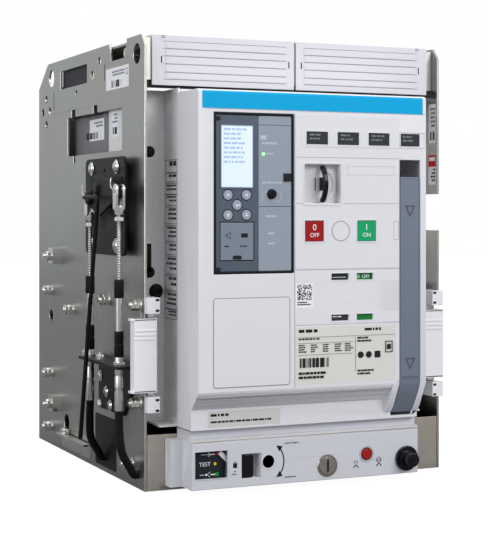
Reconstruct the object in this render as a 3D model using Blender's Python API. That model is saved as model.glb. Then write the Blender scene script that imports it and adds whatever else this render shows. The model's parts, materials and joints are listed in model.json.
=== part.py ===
"""Draw-out air circuit breaker in its cassette.

Metres, +Z up. The front faces -Y and the main terminals leave at +Y. The origin is the centre of the
cassette's underside. The breaker slides on the racking carriage, so it is in its connected place here.
"""

import math

import bmesh
import bpy
from mathutils import Matrix, Vector
from mathutils.geometry import tessellate_polygon

# ---- Overall sizes -------------------------------------------------------------------------------
CASSETTE_WIDTH = 0.3286          # over the outer faces of the side plates
CASSETTE_HEIGHT = 0.440
CASSETTE_DEPTH = 0.364           # of the side plates
COVER_PROJECTION = 0.057         # cover face ahead of the side plates
LIP_PROJECTION = 0.039           # cover lip and racking housing ahead of the side plates
PLATE = 0.0025                   # cassette sheet
FIT = 0.0003                     # between pieces that touch
RUN = 0.0006                     # between pieces that slide
BITE = 0.001                     # how far a joined shape reaches into its neighbour
PAST = 0.002                     # how far a cutter reaches past the wall it cuts

# ---- Side plates ---------------------------------------------------------------------------------
TOP_CHAMFER = (0.010, 0.012)     # front corner, along Y and Z
REAR_CHAMFER = (0.037, 0.027)
TOP_NOTCH = (0.051, 0.105, 0.018, 0.006)   # start and end behind the front edge, depth, slope
HANDLE_NOTCH_DEPTH = 0.010
VIEW_NOTCH = (0.249, 0.287, 0.028)         # right plate only: low, high, depth
LIFTING_HOLE_RADIUS = 0.010
LIFTING_HOLE_DROP = 0.018
LIFTING_HOLES = (0.022, 0.312)   # behind the front edge
AUX_WINDOW = (-0.116, 0.067, 0.330, 0.3725)
AUX_NOTCH_WIDTH = 0.007
AUX_NOTCH_RISE = 0.008
TOP_WINDOW = (-0.0025, 0.094, 0.4067, 0.4268)
STUD_RADIUS = 0.0048
STUD_LENGTH = 0.0085
STUDS = (                        # along Y and Z, pressed into each plate
    (-0.170, 0.1785), (-0.076, 0.1785), (0.128, 0.1785), (-0.170, 0.0838), (0.128, 0.0838),
    (0.128, 0.022), (-0.147, 0.022), (0.047, 0.161), (0.096, 0.219), (0.096, 0.052),
)
SMALL_HOLES = (                  # along Y, below the top edge, radius
    (-0.0449, 0.0145, 0.0045), (-0.0212, 0.0268, 0.0045), (0.151, 0.0404, 0.0045),
    (0.165, 0.055, 0.0045), (0.137, 0.055, 0.0045), (0.151, 0.070, 0.0045), (0.0348, 0.042, 0.0035),
)
LOW_HOLES = ((0.1316, 0.1486, 0.007), (0.071, 0.033, 0.0095))   # along Y, above the base, radius

# ---- Base, rear wall and terminals ---------------------------------------------------------------
BASE_FRONT_HEIGHT = 0.054
BASE_LIP_HEIGHT = 0.020
BASE_BACK_GAP = 0.001            # ahead of the side plates' rear edge
REAR_WALL_FRONT = 0.152
REAR_WALL_THICKNESS = 0.020
REAR_WALL_DROP = 0.025           # below the top of the side plates
POLE_PITCH = 0.095
TERMINAL_WIDTH = 0.044
TERMINAL_THICKNESS = 0.012
TERMINAL_PAD_RISE = 0.001        # pad above the neck that passes through the wall
TERMINAL_PAD_GAP = 0.002         # pad behind the wall
TERMINAL_REACH = 0.056           # behind the rear wall
JAW_HEIGHT = 0.021
JAW_DEPTH = 0.0475
UPPER_TERMINAL_Z = 0.300
LOWER_TERMINAL_Z = 0.140
STAB_WIDTH = 0.038
STAB_THICKNESS = 0.010
STAB_BITE = 0.036                # stab length held in the jaw

# ---- Top -----------------------------------------------------------------------------------------
CHANNEL_FRONT = 0.0105           # channel face behind the side plates' front edge
CHANNEL_DEPTH = 0.130
CHANNEL_DROP = 0.0030            # below the top of the side plates
CHANNEL_FRONT_FLANGE = 0.041
CHANNEL_REAR_FLANGE = 0.022
LOUVRE_HEIGHT = 0.049
LOUVRE_WALL = 0.0022
LOUVRE_SIDE_GAP = 0.0106         # from the side plate's outer face
LOUVRE_RETURN = 0.034
LOUVRE_MIDDLE_GAP = 0.002

# ---- Rails ---------------------------------------------------------------------------------------
GUIDE_LOW = 0.0764
GUIDE_HIGH = 0.1858
GUIDE_BLOCK = 0.0146             # height of the block along each edge of the rail
GUIDE_WEB = 0.0015
GUIDE_WIDTH = 0.0098
GUIDE_REACH = 0.0080             # collar ahead of the side plate
GUIDE_COLLAR_MARGIN = 0.0004
GUIDE_OVERLAP = 0.003
GUIDE_BACK = 0.100
RAIL_WIDTH = 0.0062
RAIL_WEB = 0.0022
RAIL_RIB = 0.0050
RAIL_LENGTH = 0.298
RAIL_SETBACK = 0.004             # behind the side plates' front edge
HANDLE_WIDTH = 0.0235
HANDLE_OFFSET = -0.0096          # handle middle from the rail middle; both handles are the same moulding
HANDLE_THICKNESS = 0.0115
HANDLE_MARGIN = 0.0040           # below the guide blocks

# ---- Racking -------------------------------------------------------------------------------------
HOUSING_LEFT = 0.0333            # housing ends, inside the side plates' outer faces
HOUSING_RIGHT = 0.0491
HOUSING_BOTTOM = 0.005
HOUSING_TOP = 0.0488
LEDGE_STEPS = ((0.0015, 0.0040), (0.0070, 0.0112))   # set back and rise of each step
FLANGE_FACE = 0.014              # flange ahead of the side plates
FLANGE_WIDTH = 0.0124
FLANGE_TOP = 0.050
FLANGE_BITE = 0.004              # flange into the housing's end
INDICATOR = (-0.128, -0.0855, 0.0140, 0.0420)
INDICATOR_DEPTH = 0.0100
INDICATOR_WINDOW = (-0.1276, -0.0945, 0.0152, 0.0411)
INDICATOR_WALL = 0.0020
POINTER_PIVOT = (-0.0890, 0.0275)
POINTER_LENGTH = 0.0165
POINTER_WIDTH = 0.0032
POINTER_THICKNESS = 0.0015
POINTER_SETBACK = 0.003          # behind the window's wall
SLIDER = (-0.0769, -0.0666, 0.0134, 0.0353)
SLIDER_LENGTH = 0.028
SLIDER_SETBACK = 0.001
SLIDER_RECESS = (-0.0796, -0.0590, 0.0126, 0.0361)
SLIDER_RECESS_DEPTH = 0.012
CRANK_HOLE = (-0.0516, 0.0275)
CRANK_HOLE_RADIUS = 0.0062
SCREW_RADIUS = 0.0050
SCREW_SETBACK = 0.015
SCREW_LENGTH = 0.296
KEY_LOCK = (0.0122, 0.0190)
KEY_LOCK_RADIUS = 0.0092
RELEASE = (0.0560, 0.0277)
RELEASE_RADIUS = 0.0055
PLUG_DEPTH = 0.021               # of the lock core and release button in the housing
PLUG_PROUD = 0.0015
PLUG_CLEARANCE = 0.004           # hole deeper than the plug
CRANK = (0.1012, 0.0204)         # place of the stored crank
CRANK_ROD_RADIUS = 0.0045
CRANK_COLLAR_RADIUS = 0.0127
CRANK_COLLAR = 0.0030
CRANK_KNOB_RADIUS = 0.0072
CRANK_KNOB = 0.0120
CRANK_LENGTH = 0.190
CARRIAGE_TOP = 0.0606
CARRIAGE_PLATE = 0.010
CARRIAGE_HALF_WIDTH = 0.138
CARRIAGE_FRONT = -0.100
CARRIAGE_BACK = 0.060
CARRIAGE_NUT_HALF = 0.0145

# ---- Interlock on the left plate -----------------------------------------------------------------
LOCK_PLATE = (-0.152, -0.028, 0.225, 0.323)
LOCK_PLATE_STAND_OFF = 0.0067
LOCK_PLATE_THICKNESS = 0.003
LOCK_PLATE_POST_RADIUS = 0.0060
LOCK_PLATE_INSET = (0.023, 0.010)
LOCK_PLATE_CORNER = 0.007
LOCK_PLATE_SLOTS = ((0.0060, 0.025, 0.053), (0.0980, 0.026, 0.018))   # from the front, above the foot, length
LOCK_PLATE_SLOT_WIDTH = 0.004
ROCKER_PIVOT = (-0.0970, 0.2905)
ROCKER_PIN_RADIUS = 0.0040
ROCKER_PIN_PROUD = 0.002
ROCKER_STAND_OFF = 0.0070
ROCKER_THICKNESS = 0.003
ROCKER = ((-0.1030, 0.3040), (-0.1640, 0.2935), (-0.1640, 0.2850), (-0.1010, 0.2640), (-0.0640, 0.2760),
          (-0.0640, 0.2880))
FRONT_ROD_Y = -0.160
REAR_ROD_Y = -0.070
REAR_ROD_DROP = 0.006            # rear clevis below the front one
PUSH_ROD_TOP = (-0.1250, 0.2830)
PUSH_ROD_FOOT = (-0.0700, 0.0360)
PUSH_ROD_X = 0.0287              # outside the side plate's face
PUSH_ROD_RADIUS = 0.0022
PUSH_ROD_BEND = 0.006            # size of the bend at its top
PUSH_ROD_ARM = 0.042             # level stretch from the bend back to the rocker's collar
CLEVIS = 0.0048                  # half the clevis's side
CLEVIS_HEIGHT = 0.030
CLEVIS_SLOT = 0.0022
CLEVIS_SLOT_DEPTH = 0.020
ROD_RADIUS = 0.0024
ROD_FOOT_Z = 0.170
TUBE_TOP_Z = 0.203
TUBE_RADIUS = 0.0036
BOOT_RADIUS = 0.0047
BOOT_LENGTH = 0.018
LOWER_BOOT_Z = (0.128, 0.152)
FERRULE_Z = (0.076, 0.128)
FERRULE_RADIUS = 0.0044
CABLE_RADIUS = 0.0040
CABLE_END_GAP = 0.004            # last bend of a cable, outside the side plate
FRONT_CABLE = ((0.0, -0.001, 0.056), (0.002, -0.003, 0.036), (0.010, -0.003, 0.021), (-0.003, 0.014))
REAR_CABLE = ((0.0, 0.001, 0.056), (0.002, 0.004, 0.037), (0.010, 0.006, 0.023), (0.007, 0.016))
SLEEVE_STEP = 0.0004             # length over which a sleeve's radius changes
ROD_BORE_DEPTH = 0.020           # of the sleeve's bore below the rod's foot
BRACKET_FLANGE_Z = 0.1185
BRACKET_SHEET = 0.003
BRACKET_REACH = 0.0252
BRACKET_FLANGE = (-0.174, -0.052)
BRACKET_WEB = ((-0.152, 0.1215), (-0.052, 0.1215), (-0.052, 0.066), (-0.128, 0.066), (-0.152, 0.092))

# ---- Breaker frame -------------------------------------------------------------------------------
FRAME_SHEET = 0.002
FRAME_FLANGE_SETBACK = 0.036     # flange behind the side plates' front edge
FRAME_SIDE_GAP = 0.0028          # frame side to the cassette's inner face
FRAME_BACK = -0.060
FRAME_COVER_GAP = 0.001          # frame sides inside the cover's edges
FRAME_STRAP = 0.020              # depth of the strap across the top
FRAME_RAIL_CUT = 0.010           # rail cut-out ahead of the frame's flange
FRAME_TOP_GAP = 0.003            # under the louvres
FRAME_RAIL_Z = 0.192             # below this the frame keeps clear of the rails
FRAME_RAIL_GAP_LEFT = 0.0015     # frame edge to the rail guide
FRAME_RAIL_GAP_RIGHT = 0.0105    # the right handle reaches further in
FRAME_FLOOR_BACK = 0.060
SIGHT_HOLE = (0.020, 0.0180, 0.0085)   # behind the front edge, below the frame's top, radius

# ---- Front cover ---------------------------------------------------------------------------------
COVER_LEFT_GAP = 0.0323          # cover edges inside the side plates' outer faces
COVER_RIGHT_GAP = 0.0503
COVER_BOTTOM = 0.0612
COVER_TOP_GAP = 0.0075           # under the louvres
COVER_WALL = 0.0025
COVER_BACK_GAP = 0.003           # cover's rear edge ahead of the side plates
COVER_FACE_LOW = 0.0993
COVER_LIP_HIGH = 0.0815
COVER_STEPS = 3
COVER_CORNER = 0.004
LOCK_RECESS = (-0.0214, 0.0168, 0.2764, 0.3140)
LOCK_RECESS_DEPTH = 0.008
LOCK_RECESS_WALL = 0.0025
FLAG_WINDOWS = ((0.0075, 0.0264), (0.0353, 0.0533))
FLAG_WINDOW_ROWS = ((0.2020, 0.2086), (0.1624, 0.1690))
LEVER = (0.0840, 0.1065, 0.067, 0.303)
LEVER_SIDE = 0.0006
LEVER_POCKET_TOP = 0.3197
LEVER_THICKNESS = 0.010
LEVER_SLOT_MARGIN = 0.003        # cut behind the lip's wall
LEVER_PIVOT = (0.0060, 0.0740)   # behind the cover lip, above the base
LEVER_FRONT_BEND = ((0.0, 0.0), (0.004, -0.009), (0.012, -0.021))     # behind the face, above its foot
LEVER_BACK_BEND = ((0.012, -0.017), (0.004, -0.005), (0.0, 0.004))    # the same, behind the bar's back
CHEEK = 0.0072
CHEEK_FOOT = 0.068
CHEEK_TOP = 0.003                # above the foot of the cover's face
CHEEK_BITE = 0.0012
CHEEK_NOSE = 0.006               # front of the cheek ahead of the lip, and its rise

# ---- Trip unit and controls ----------------------------------------------------------------------
UNIT = (-0.1163, -0.0327, 0.2095, 0.3620)
UNIT_SETBACK = 0.0015
UNIT_DEPTH = 0.046
KEY_RADIUS = 0.0048
KEY_PROUD = 0.0010
KEY_BORE = 0.0060
KEYS = {
    "key_left": (-0.1014, 0.2841), "key_right": (-0.0824, 0.2842), "key_enter": (-0.0920, 0.2746),
    "key_up": (-0.1014, 0.2652), "key_down": (-0.0824, 0.2654),
}
FLAP = (-0.1090, -0.0750, 0.2226, 0.2581)
FLAP_THICKNESS = 0.0033
FLAP_PROUD = 0.0005
RESET = (-0.0560, 0.2852)
RESET_RADIUS = 0.0042
RESET_PROUD = 0.0035
BUTTONS = {"off_button": (-0.0214, -0.0005), "on_button": (0.0357, 0.0565)}
BUTTON_Z = (0.2396, 0.2597)
BUTTON_THICKNESS = 0.0105
BUTTON_PROUD = 0.0004
BUTTON_STEM_RADIUS = 0.0035
BUTTON_STEM = 0.036
HASP = (-0.0060, 0.0046, 0.2770, 0.3136)
HASP_REACH = 0.0060
HASP_STEM_HALF = 0.0055
HASP_STEM = 0.022
HASP_SEAT = 0.003                # foot of the hasp's bow ahead of the recess floor
HASP_BOW = 0.75                  # share of the reach that the bow takes
FLAG = (0.030, 0.058, 0.191, 0.2105)
FLAG_THICKNESS = 0.0015

# ---- Poles ---------------------------------------------------------------------------------------
HOUSING_FRONT = -0.058
POLE_BACK = 0.092
POLE_TOP = 0.372
POLE_UPPER_HALF = 0.153
POLE_LOWER_HALF = 0.140
POLE_STEP_Z = 0.194
CHAMBER_HALF = 0.021
CHAMBER_FRONT = -0.042
CHAMBER_BACK = 0.072
CHAMBER_FLOOR = 0.100
SHAFT_Z = 0.190
SHAFT_RADIUS = 0.011
SHAFT_CLEARANCE = 0.0012
SHAFT_END_GAP = 0.003            # shaft ends inside the outer chambers' walls
ARM_LENGTH = 0.108
ARM_HALF_WIDTH = 0.012
ARM_HALF_THICKNESS = 0.0055
ARM_OPEN_ANGLE = math.radians(16.0)
UPPER_STAB_FRONT = 0.034
LOWER_STAB_FRONT = 0.020
CHUTE_BOTTOM = 0.318
CHUTE_LID = 0.0135
CHUTE_INSET = 0.003              # lid inside the sides of the pole housing
CHUTE_END_INSET = 0.002          # and inside its front and back
MECHANISM = (-0.042, 0.076, -0.176, -0.068, 0.118, 0.332)
MECHANISM_CHEEK = 0.004
MECHANISM_DRUM = 0.030
MECHANISM_SPACER = 0.007
MECHANISM_SPACER_INSET = (0.020, 0.025)   # from the cheeks' edges, along Y and Z

# ---- Worked out from the sizes above -------------------------------------------------------------
FRONT = -CASSETTE_DEPTH / 2
BACK = CASSETTE_DEPTH / 2
OUTER = CASSETTE_WIDTH / 2
INNER = OUTER - PLATE
TOP = CASSETTE_HEIGHT
COVER_FACE = FRONT - COVER_PROJECTION
LIP_FACE = FRONT - LIP_PROJECTION
LOUVRE_BOTTOM = TOP - LOUVRE_HEIGHT
GUIDE_OUTER = INNER - FIT
GUIDE_INNER = GUIDE_OUTER - GUIDE_WIDTH
RAIL_OUTER = GUIDE_OUTER - GUIDE_WEB - RUN
RAIL_INNER = RAIL_OUTER - RAIL_WIDTH
RAIL_LOW = GUIDE_LOW + GUIDE_BLOCK + RUN
RAIL_HIGH = GUIDE_HIGH - GUIDE_BLOCK - RUN
FRAME_OUTER = INNER - FRAME_SIDE_GAP
FRAME_TOP = LOUVRE_BOTTOM - FRAME_TOP_GAP
FRAME_FLANGE = FRONT + FRAME_FLANGE_SETBACK
FRAME_FLOOR = CARRIAGE_TOP + FIT
COVER_LEFT = -OUTER + COVER_LEFT_GAP
COVER_RIGHT = OUTER - COVER_RIGHT_GAP
COVER_TOP = LOUVRE_BOTTOM - COVER_TOP_GAP
COVER_BACK = FRONT - COVER_BACK_GAP
HOUSING_BACK = FRONT - FIT
LOCK_PLATE_X = -OUTER - LOCK_PLATE_STAND_OFF - LOCK_PLATE_THICKNESS
ROCKER_X = LOCK_PLATE_X - ROCKER_STAND_OFF - ROCKER_THICKNESS
ROD_X = ROCKER_X + ROCKER_THICKNESS / 2
POLES = (-POLE_PITCH, 0.0, POLE_PITCH)
UNIT_FACE = COVER_FACE + UNIT_SETBACK

PAINTS = {                       # colour, roughness, metallic
    "zinc_sheet": ((0.42, 0.42, 0.40), 0.35, 0.9),
    "base_steel": ((0.45, 0.43, 0.40), 0.40, 0.9),
    "zinc_bright": ((0.62, 0.62, 0.60), 0.25, 1.0),
    "copper": ((0.60, 0.58, 0.55), 0.30, 1.0),
    "insulator": ((0.05, 0.05, 0.055), 0.55, 0.0),
    "cover_grey": ((0.72, 0.72, 0.74), 0.45, 0.0),
    "louvre_grey": ((0.70, 0.70, 0.73), 0.50, 0.0),
    "housing_grey": ((0.57, 0.57, 0.60), 0.45, 0.0),
    "rail_white": ((0.80, 0.80, 0.82), 0.45, 0.0),
    "black_plastic": ((0.012, 0.013, 0.015), 0.35, 0.0),
    "black_steel": ((0.030, 0.030, 0.032), 0.45, 0.3),
    "unit_grey": ((0.10, 0.13, 0.17), 0.45, 0.0),
    "key_grey": ((0.52, 0.54, 0.58), 0.45, 0.0),
    "lever_grey": ((0.16, 0.19, 0.24), 0.45, 0.0),
    "red": ((0.42, 0.01, 0.01), 0.40, 0.0),
    "green": ((0.0, 0.35, 0.13), 0.40, 0.0),
    "rubber": ((0.015, 0.015, 0.016), 0.70, 0.0),
    "pole_grey": ((0.20, 0.20, 0.21), 0.50, 0.0),
}


# ---- Outlines: lists of points in the plane across an axis -----------------------------------------
def box_outline(a0, a1, b0, b1):
    return [(a0, b0), (a1, b0), (a1, b1), (a0, b1)]


def circle(a, b, radius, sides=16):
    turn = 2 * math.pi / sides
    return [(a + radius * math.cos(turn * i), b + radius * math.sin(turn * i)) for i in range(sides)]


def rounded_box(a0, a1, b0, b1, radius, steps=3):
    """A box outline with each corner a quarter circle."""
    points = []
    for quarter, (a, b) in enumerate(((a1 - radius, b1 - radius), (a0 + radius, b1 - radius),
                                      (a0 + radius, b0 + radius), (a1 - radius, b0 + radius))):
        for step in range(steps + 1):
            angle = math.pi / 2 * (quarter + step / steps)
            points.append((a + radius * math.cos(angle), b + radius * math.sin(angle)))
    return points


# ---- Shapes: objects that later calls join, cut and name -------------------------------------------
def spot(axis, a, b, along):
    """The point at (a, b) across the axis and at a distance along it: X takes (y, z), Y (x, z), Z (x, y)."""
    return {"X": (along, a, b), "Y": (a, along, b), "Z": (a, b, along)}[axis]


def shape_of(points, faces):
    mesh = bpy.data.meshes.new("shape")
    mesh.from_pydata(points, [], faces)
    mesh.update()
    shape = bpy.data.objects.new("shape", mesh)
    bpy.context.scene.collection.objects.link(shape)
    return shape


def prism(axis, outline, low, high, holes=()):
    """An outline with holes, carried straight along an axis, with both ends closed."""
    loops = [list(outline)] + [list(hole) for hole in holes]
    flat = [point for loop in loops for point in loop]
    count = len(flat)
    points = [spot(axis, a, b, low) for a, b in flat] + [spot(axis, a, b, high) for a, b in flat]
    caps = tessellate_polygon([[Vector((a, b, 0.0)) for a, b in loop] for loop in loops])
    faces = [tuple(cap) for cap in caps] + [tuple(i + count for i in reversed(cap)) for cap in caps]
    start = 0
    for loop in loops:
        size = len(loop)
        for i in range(size):
            this, following = start + i, start + (i + 1) % size
            faces.append((this, following, following + count, this + count))
        start += size
    shape = shape_of(points, faces)
    face_outwards(shape)
    return shape


def face_outwards(shape):
    work = bmesh.new()
    work.from_mesh(shape.data)
    bmesh.ops.recalc_face_normals(work, faces=work.faces)
    work.to_mesh(shape.data)
    work.free()


def block(x0, x1, y0, y1, z0, z1):
    return prism("Z", box_outline(x0, x1, y0, y1), z0, z1)


def rod(axis, centre, radius, low, high, sides=16):
    return prism(axis, circle(centre[0], centre[1], radius, sides), low, high)


def turned(axis, centre, profile, sides=16):
    """A profile of (distance along the axis, radius) turned round it, closed by a flat face at each end."""
    turn = 2 * math.pi / sides
    points = []
    for along, radius in profile:
        for i in range(sides):
            a = centre[0] + radius * math.cos(turn * i)
            b = centre[1] + radius * math.sin(turn * i)
            points.append(spot(axis, a, b, along))
    faces = [tuple(range(sides)), tuple(len(points) - sides + i for i in range(sides))]
    for ring in range(len(profile) - 1):
        for i in range(sides):
            this, following = ring * sides + i, ring * sides + (i + 1) % sides
            faces.append((this, following, following + sides, this + sides))
    shape = shape_of(points, faces)
    face_outwards(shape)
    return shape


def tube(route, radii, resolution=2):
    """A round solid along a route of points, with a radius at each."""
    curve = bpy.data.curves.new("tube", "CURVE")
    curve.dimensions = "3D"
    curve.bevel_depth = 1.0
    curve.bevel_resolution = resolution
    curve.use_fill_caps = True
    spline = curve.splines.new("POLY")
    spline.points.add(len(route) - 1)
    for point, place, radius in zip(spline.points, route, radii):
        point.co = (*place, 1.0)
        point.radius = radius
    guide = bpy.data.objects.new("tube", curve)
    bpy.context.scene.collection.objects.link(guide)
    graph = bpy.context.evaluated_depsgraph_get()
    mesh = bpy.data.meshes.new_from_object(guide.evaluated_get(graph))
    bpy.data.objects.remove(guide)
    shape = bpy.data.objects.new("shape", mesh)
    bpy.context.scene.collection.objects.link(shape)
    weld(shape)
    return shape


def weld(shape):
    work = bmesh.new()
    work.from_mesh(shape.data)
    bmesh.ops.remove_doubles(work, verts=work.verts, dist=1e-6)
    bmesh.ops.recalc_face_normals(work, faces=work.faces)
    work.to_mesh(shape.data)
    work.free()


def combine(shape, others, operation, solver="EXACT"):
    """Adds the others to the shape, or takes them away from it, and keeps the result as its mesh."""
    for other in others:
        modifier = shape.modifiers.new(operation.title(), "BOOLEAN")
        modifier.operation = operation
        modifier.solver = solver
        modifier.object = other
    graph = bpy.context.evaluated_depsgraph_get()
    mesh = bpy.data.meshes.new_from_object(shape.evaluated_get(graph))
    shape.modifiers.clear()
    shape.data = mesh
    for other in others:
        bpy.data.objects.remove(other)
    return shape


def join(shape, *others):
    return combine(shape, others, "UNION")


def cut(shape, *others):
    return combine(shape, others, "DIFFERENCE")


def smooth_between(route, steps):
    """A Catmull-Rom curve through the route's points, with the same number of steps in each stretch."""
    ends = [Vector(route[0])] + [Vector(point) for point in route] + [Vector(route[-1])]
    points = []
    for before, start, end, after in zip(ends, ends[1:], ends[2:], ends[3:]):
        for step in range(steps):
            t = step / steps
            points.append(0.5 * (2 * start + (end - before) * t
                                 + (2 * before - 5 * start + 4 * end - after) * t ** 2
                                 + (3 * start - before - 3 * end + after) * t ** 3))
    return points + [ends[-1]]


# ---- Finishing: a name, a paint, a parent and an origin --------------------------------------------
def paint(name):
    """The Principled material of that name, made on first use."""
    if name in bpy.data.materials:
        return bpy.data.materials[name]
    colour, roughness, metallic = PAINTS[name]
    material = bpy.data.materials.new(name)
    material.use_nodes = True
    shader = material.node_tree.nodes["Principled BSDF"]
    shader.inputs["Base Color"].default_value = (*colour, 1.0)
    shader.inputs["Roughness"].default_value = roughness
    shader.inputs["Metallic"].default_value = metallic
    return material


def empty(name, parent=None):
    guide = bpy.data.objects.new(name, None)
    bpy.context.scene.collection.objects.link(guide)
    guide.parent = parent
    return guide


def finish(shape, name, colour, parent, origin=(0.0, 0.0, 0.0)):
    """Names a shape and puts its origin at the given point, which for a moving piece lies on its joint."""
    shape.name = name
    shape.data.name = name
    shape.data.transform(Matrix.Translation(-Vector(origin)))
    shape.location = origin
    shape.data.materials.clear()
    shape.data.materials.append(paint(colour))
    shape.data.shade_smooth()
    shape.data.set_sharp_from_angle(angle=math.radians(35))
    shape.parent = parent
    return shape


# ---- Cassette --------------------------------------------------------------------------------------
def plate_outline(side):
    """The side plate seen along X; the right one, side +1, also has a viewing notch in its front edge."""
    notch_start, notch_end, notch_depth, notch_slope = TOP_NOTCH
    points = [(FRONT, 0.0), (BACK, 0.0), (BACK, TOP - REAR_CHAMFER[1]), (BACK - REAR_CHAMFER[0], TOP)]
    points += [(FRONT + notch_end, TOP), (FRONT + notch_end - notch_slope, TOP - notch_depth),
               (FRONT + notch_start + notch_slope, TOP - notch_depth), (FRONT + notch_start, TOP)]
    points += [(FRONT + TOP_CHAMFER[0], TOP), (FRONT, TOP - TOP_CHAMFER[1])]
    if side > 0:
        low, high, depth = VIEW_NOTCH
        points += [(FRONT, high), (FRONT + depth, high), (FRONT + depth, low), (FRONT, low)]
    handle_low = RAIL_LOW - HANDLE_MARGIN / 4
    handle_high = RAIL_HIGH + HANDLE_MARGIN / 4
    points += [(FRONT, handle_high), (FRONT + HANDLE_NOTCH_DEPTH, handle_high),
               (FRONT + HANDLE_NOTCH_DEPTH, handle_low), (FRONT, handle_low)]
    return points


def aux_window():
    """The window over the breaker's side, with a pair of notches in its upper edge and one below."""
    y0, y1, z0, z1 = AUX_WINDOW
    points = [(y0, z0), (y1 - 4 * AUX_NOTCH_WIDTH, z0), (y1 - 4 * AUX_NOTCH_WIDTH, z0 - AUX_NOTCH_RISE),
              (y1 - 3 * AUX_NOTCH_WIDTH, z0 - AUX_NOTCH_RISE), (y1 - 3 * AUX_NOTCH_WIDTH, z0), (y1, z0), (y1, z1)]
    for start in (y1 - 2 * AUX_NOTCH_WIDTH, y1 - 13 * AUX_NOTCH_WIDTH):
        points += [(start, z1), (start, z1 + AUX_NOTCH_RISE), (start - 2 * AUX_NOTCH_WIDTH, z1 + AUX_NOTCH_RISE),
                   (start - 2 * AUX_NOTCH_WIDTH, z1)]
    return points + [(y0, z1)]


def side_plate(side, parent):
    holes = [aux_window(), box_outline(*TOP_WINDOW)]
    holes += [circle(FRONT + along, TOP - LIFTING_HOLE_DROP, LIFTING_HOLE_RADIUS) for along in LIFTING_HOLES]
    holes += [circle(y, TOP - drop, radius, 8) for y, drop, radius in SMALL_HOLES]
    holes += [circle(y, z, radius, 12) for y, z, radius in LOW_HOLES]
    plate = prism("X", plate_outline(side), side * INNER, side * OUTER, holes)
    studs = [rod("X", place, STUD_RADIUS, side * (OUTER - PLATE / 2), side * (OUTER + STUD_LENGTH), 8)
             for place in STUDS]
    name = "side_plate_right" if side > 0 else "side_plate_left"
    finish(combine(plate, studs, "UNION", "MANIFOLD"), name, "zinc_sheet", parent)


def base_tray(parent):
    front, back = FRONT + FIT, BACK - BASE_BACK_GAP
    outline = [(front, 0.0), (back, 0.0), (back, BASE_LIP_HEIGHT), (back - PLATE, BASE_LIP_HEIGHT),
               (back - PLATE, PLATE), (front + PLATE, PLATE), (front + PLATE, BASE_FRONT_HEIGHT),
               (front, BASE_FRONT_HEIGHT)]
    tray = prism("X", outline, -INNER + FIT, INNER - FIT)
    through = (front - PLATE, front + 2 * PLATE)
    holes = [rod("Y", CRANK_HOLE, SCREW_RADIUS + RUN, *through), rod("Y", CRANK, CRANK_ROD_RADIUS + RUN, *through)]
    finish(cut(tray, *holes), "base_tray", "base_steel", parent)


def rear_wall(parent):
    half_width, half_height = TERMINAL_WIDTH / 2 + FIT, TERMINAL_THICKNESS / 2 - TERMINAL_PAD_RISE + FIT
    holes = [box_outline(x - half_width, x + half_width, z - half_height, z + half_height)
             for x in POLES for z in (LOWER_TERMINAL_Z, UPPER_TERMINAL_Z)]
    outline = box_outline(-INNER + FIT, INNER - FIT, PLATE + FIT, TOP - REAR_WALL_DROP)
    wall = prism("Y", outline, REAR_WALL_FRONT, REAR_WALL_FRONT + REAR_WALL_THICKNESS, holes)
    finish(wall, "rear_wall", "insulator", parent)


def terminals(parent):
    """Six copper bars through the rear wall, each with a forked jaw in front that takes a stab."""
    shoulder = REAR_WALL_FRONT - FIT
    mouth = shoulder - JAW_DEPTH
    root = POLE_BACK + FIT + STAB_BITE + JAW_DEPTH / 3
    wall_back = REAR_WALL_FRONT + REAR_WALL_THICKNESS
    pad, back = wall_back + TERMINAL_PAD_GAP, wall_back + TERMINAL_REACH
    gap, jaw, bar = STAB_THICKNESS / 2 + RUN, JAW_HEIGHT / 2, TERMINAL_THICKNESS / 2
    neck = bar - TERMINAL_PAD_RISE
    half = [(mouth, gap), (mouth, jaw), (shoulder, jaw), (shoulder, neck), (pad, neck), (pad, bar), (back, bar)]
    outline = half + [(y, -z) for y, z in reversed(half)] + [(root, -gap), (root, gap)]
    for row, height in (("upper", UPPER_TERMINAL_Z), ("lower", LOWER_TERMINAL_Z)):
        raised = [(y, z + height) for y, z in outline]
        for number, x in enumerate(POLES, 1):
            bar_shape = prism("X", raised, x - TERMINAL_WIDTH / 2, x + TERMINAL_WIDTH / 2)
            finish(bar_shape, f"{row}_terminal_{number}", "copper", parent)


def top_channel(parent):
    front = FRONT + CHANNEL_FRONT
    back, high = front + CHANNEL_DEPTH, TOP - CHANNEL_DROP
    outline = [(front, high), (front, high - CHANNEL_FRONT_FLANGE), (front + PLATE, high - CHANNEL_FRONT_FLANGE),
               (front + PLATE, high - PLATE), (back - PLATE, high - PLATE),
               (back - PLATE, high - CHANNEL_REAR_FLANGE), (back, high - CHANNEL_REAR_FLANGE), (back, high)]
    finish(prism("X", outline, -INNER + FIT, INNER - FIT), "top_channel", "zinc_sheet", parent)


def louvres(parent):
    """Two moulded covers that hang in front of the top channel and fold back over it."""
    back = FRONT + CHANNEL_FRONT - FIT
    front = back - LOUVRE_WALL
    under = TOP - CHANNEL_DROP + FIT
    outline = [(front, LOUVRE_BOTTOM), (back, LOUVRE_BOTTOM), (back, under), (front + LOUVRE_RETURN, under),
               (front + LOUVRE_RETURN, TOP), (front, TOP)]
    near, far = LOUVRE_MIDDLE_GAP / 2, OUTER - LOUVRE_SIDE_GAP
    for name, x0, x1 in (("terminal_cover_left", -far, -near), ("terminal_cover_right", near, far)):
        finish(prism("X", outline, x0, x1), name, "louvre_grey", parent)


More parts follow.
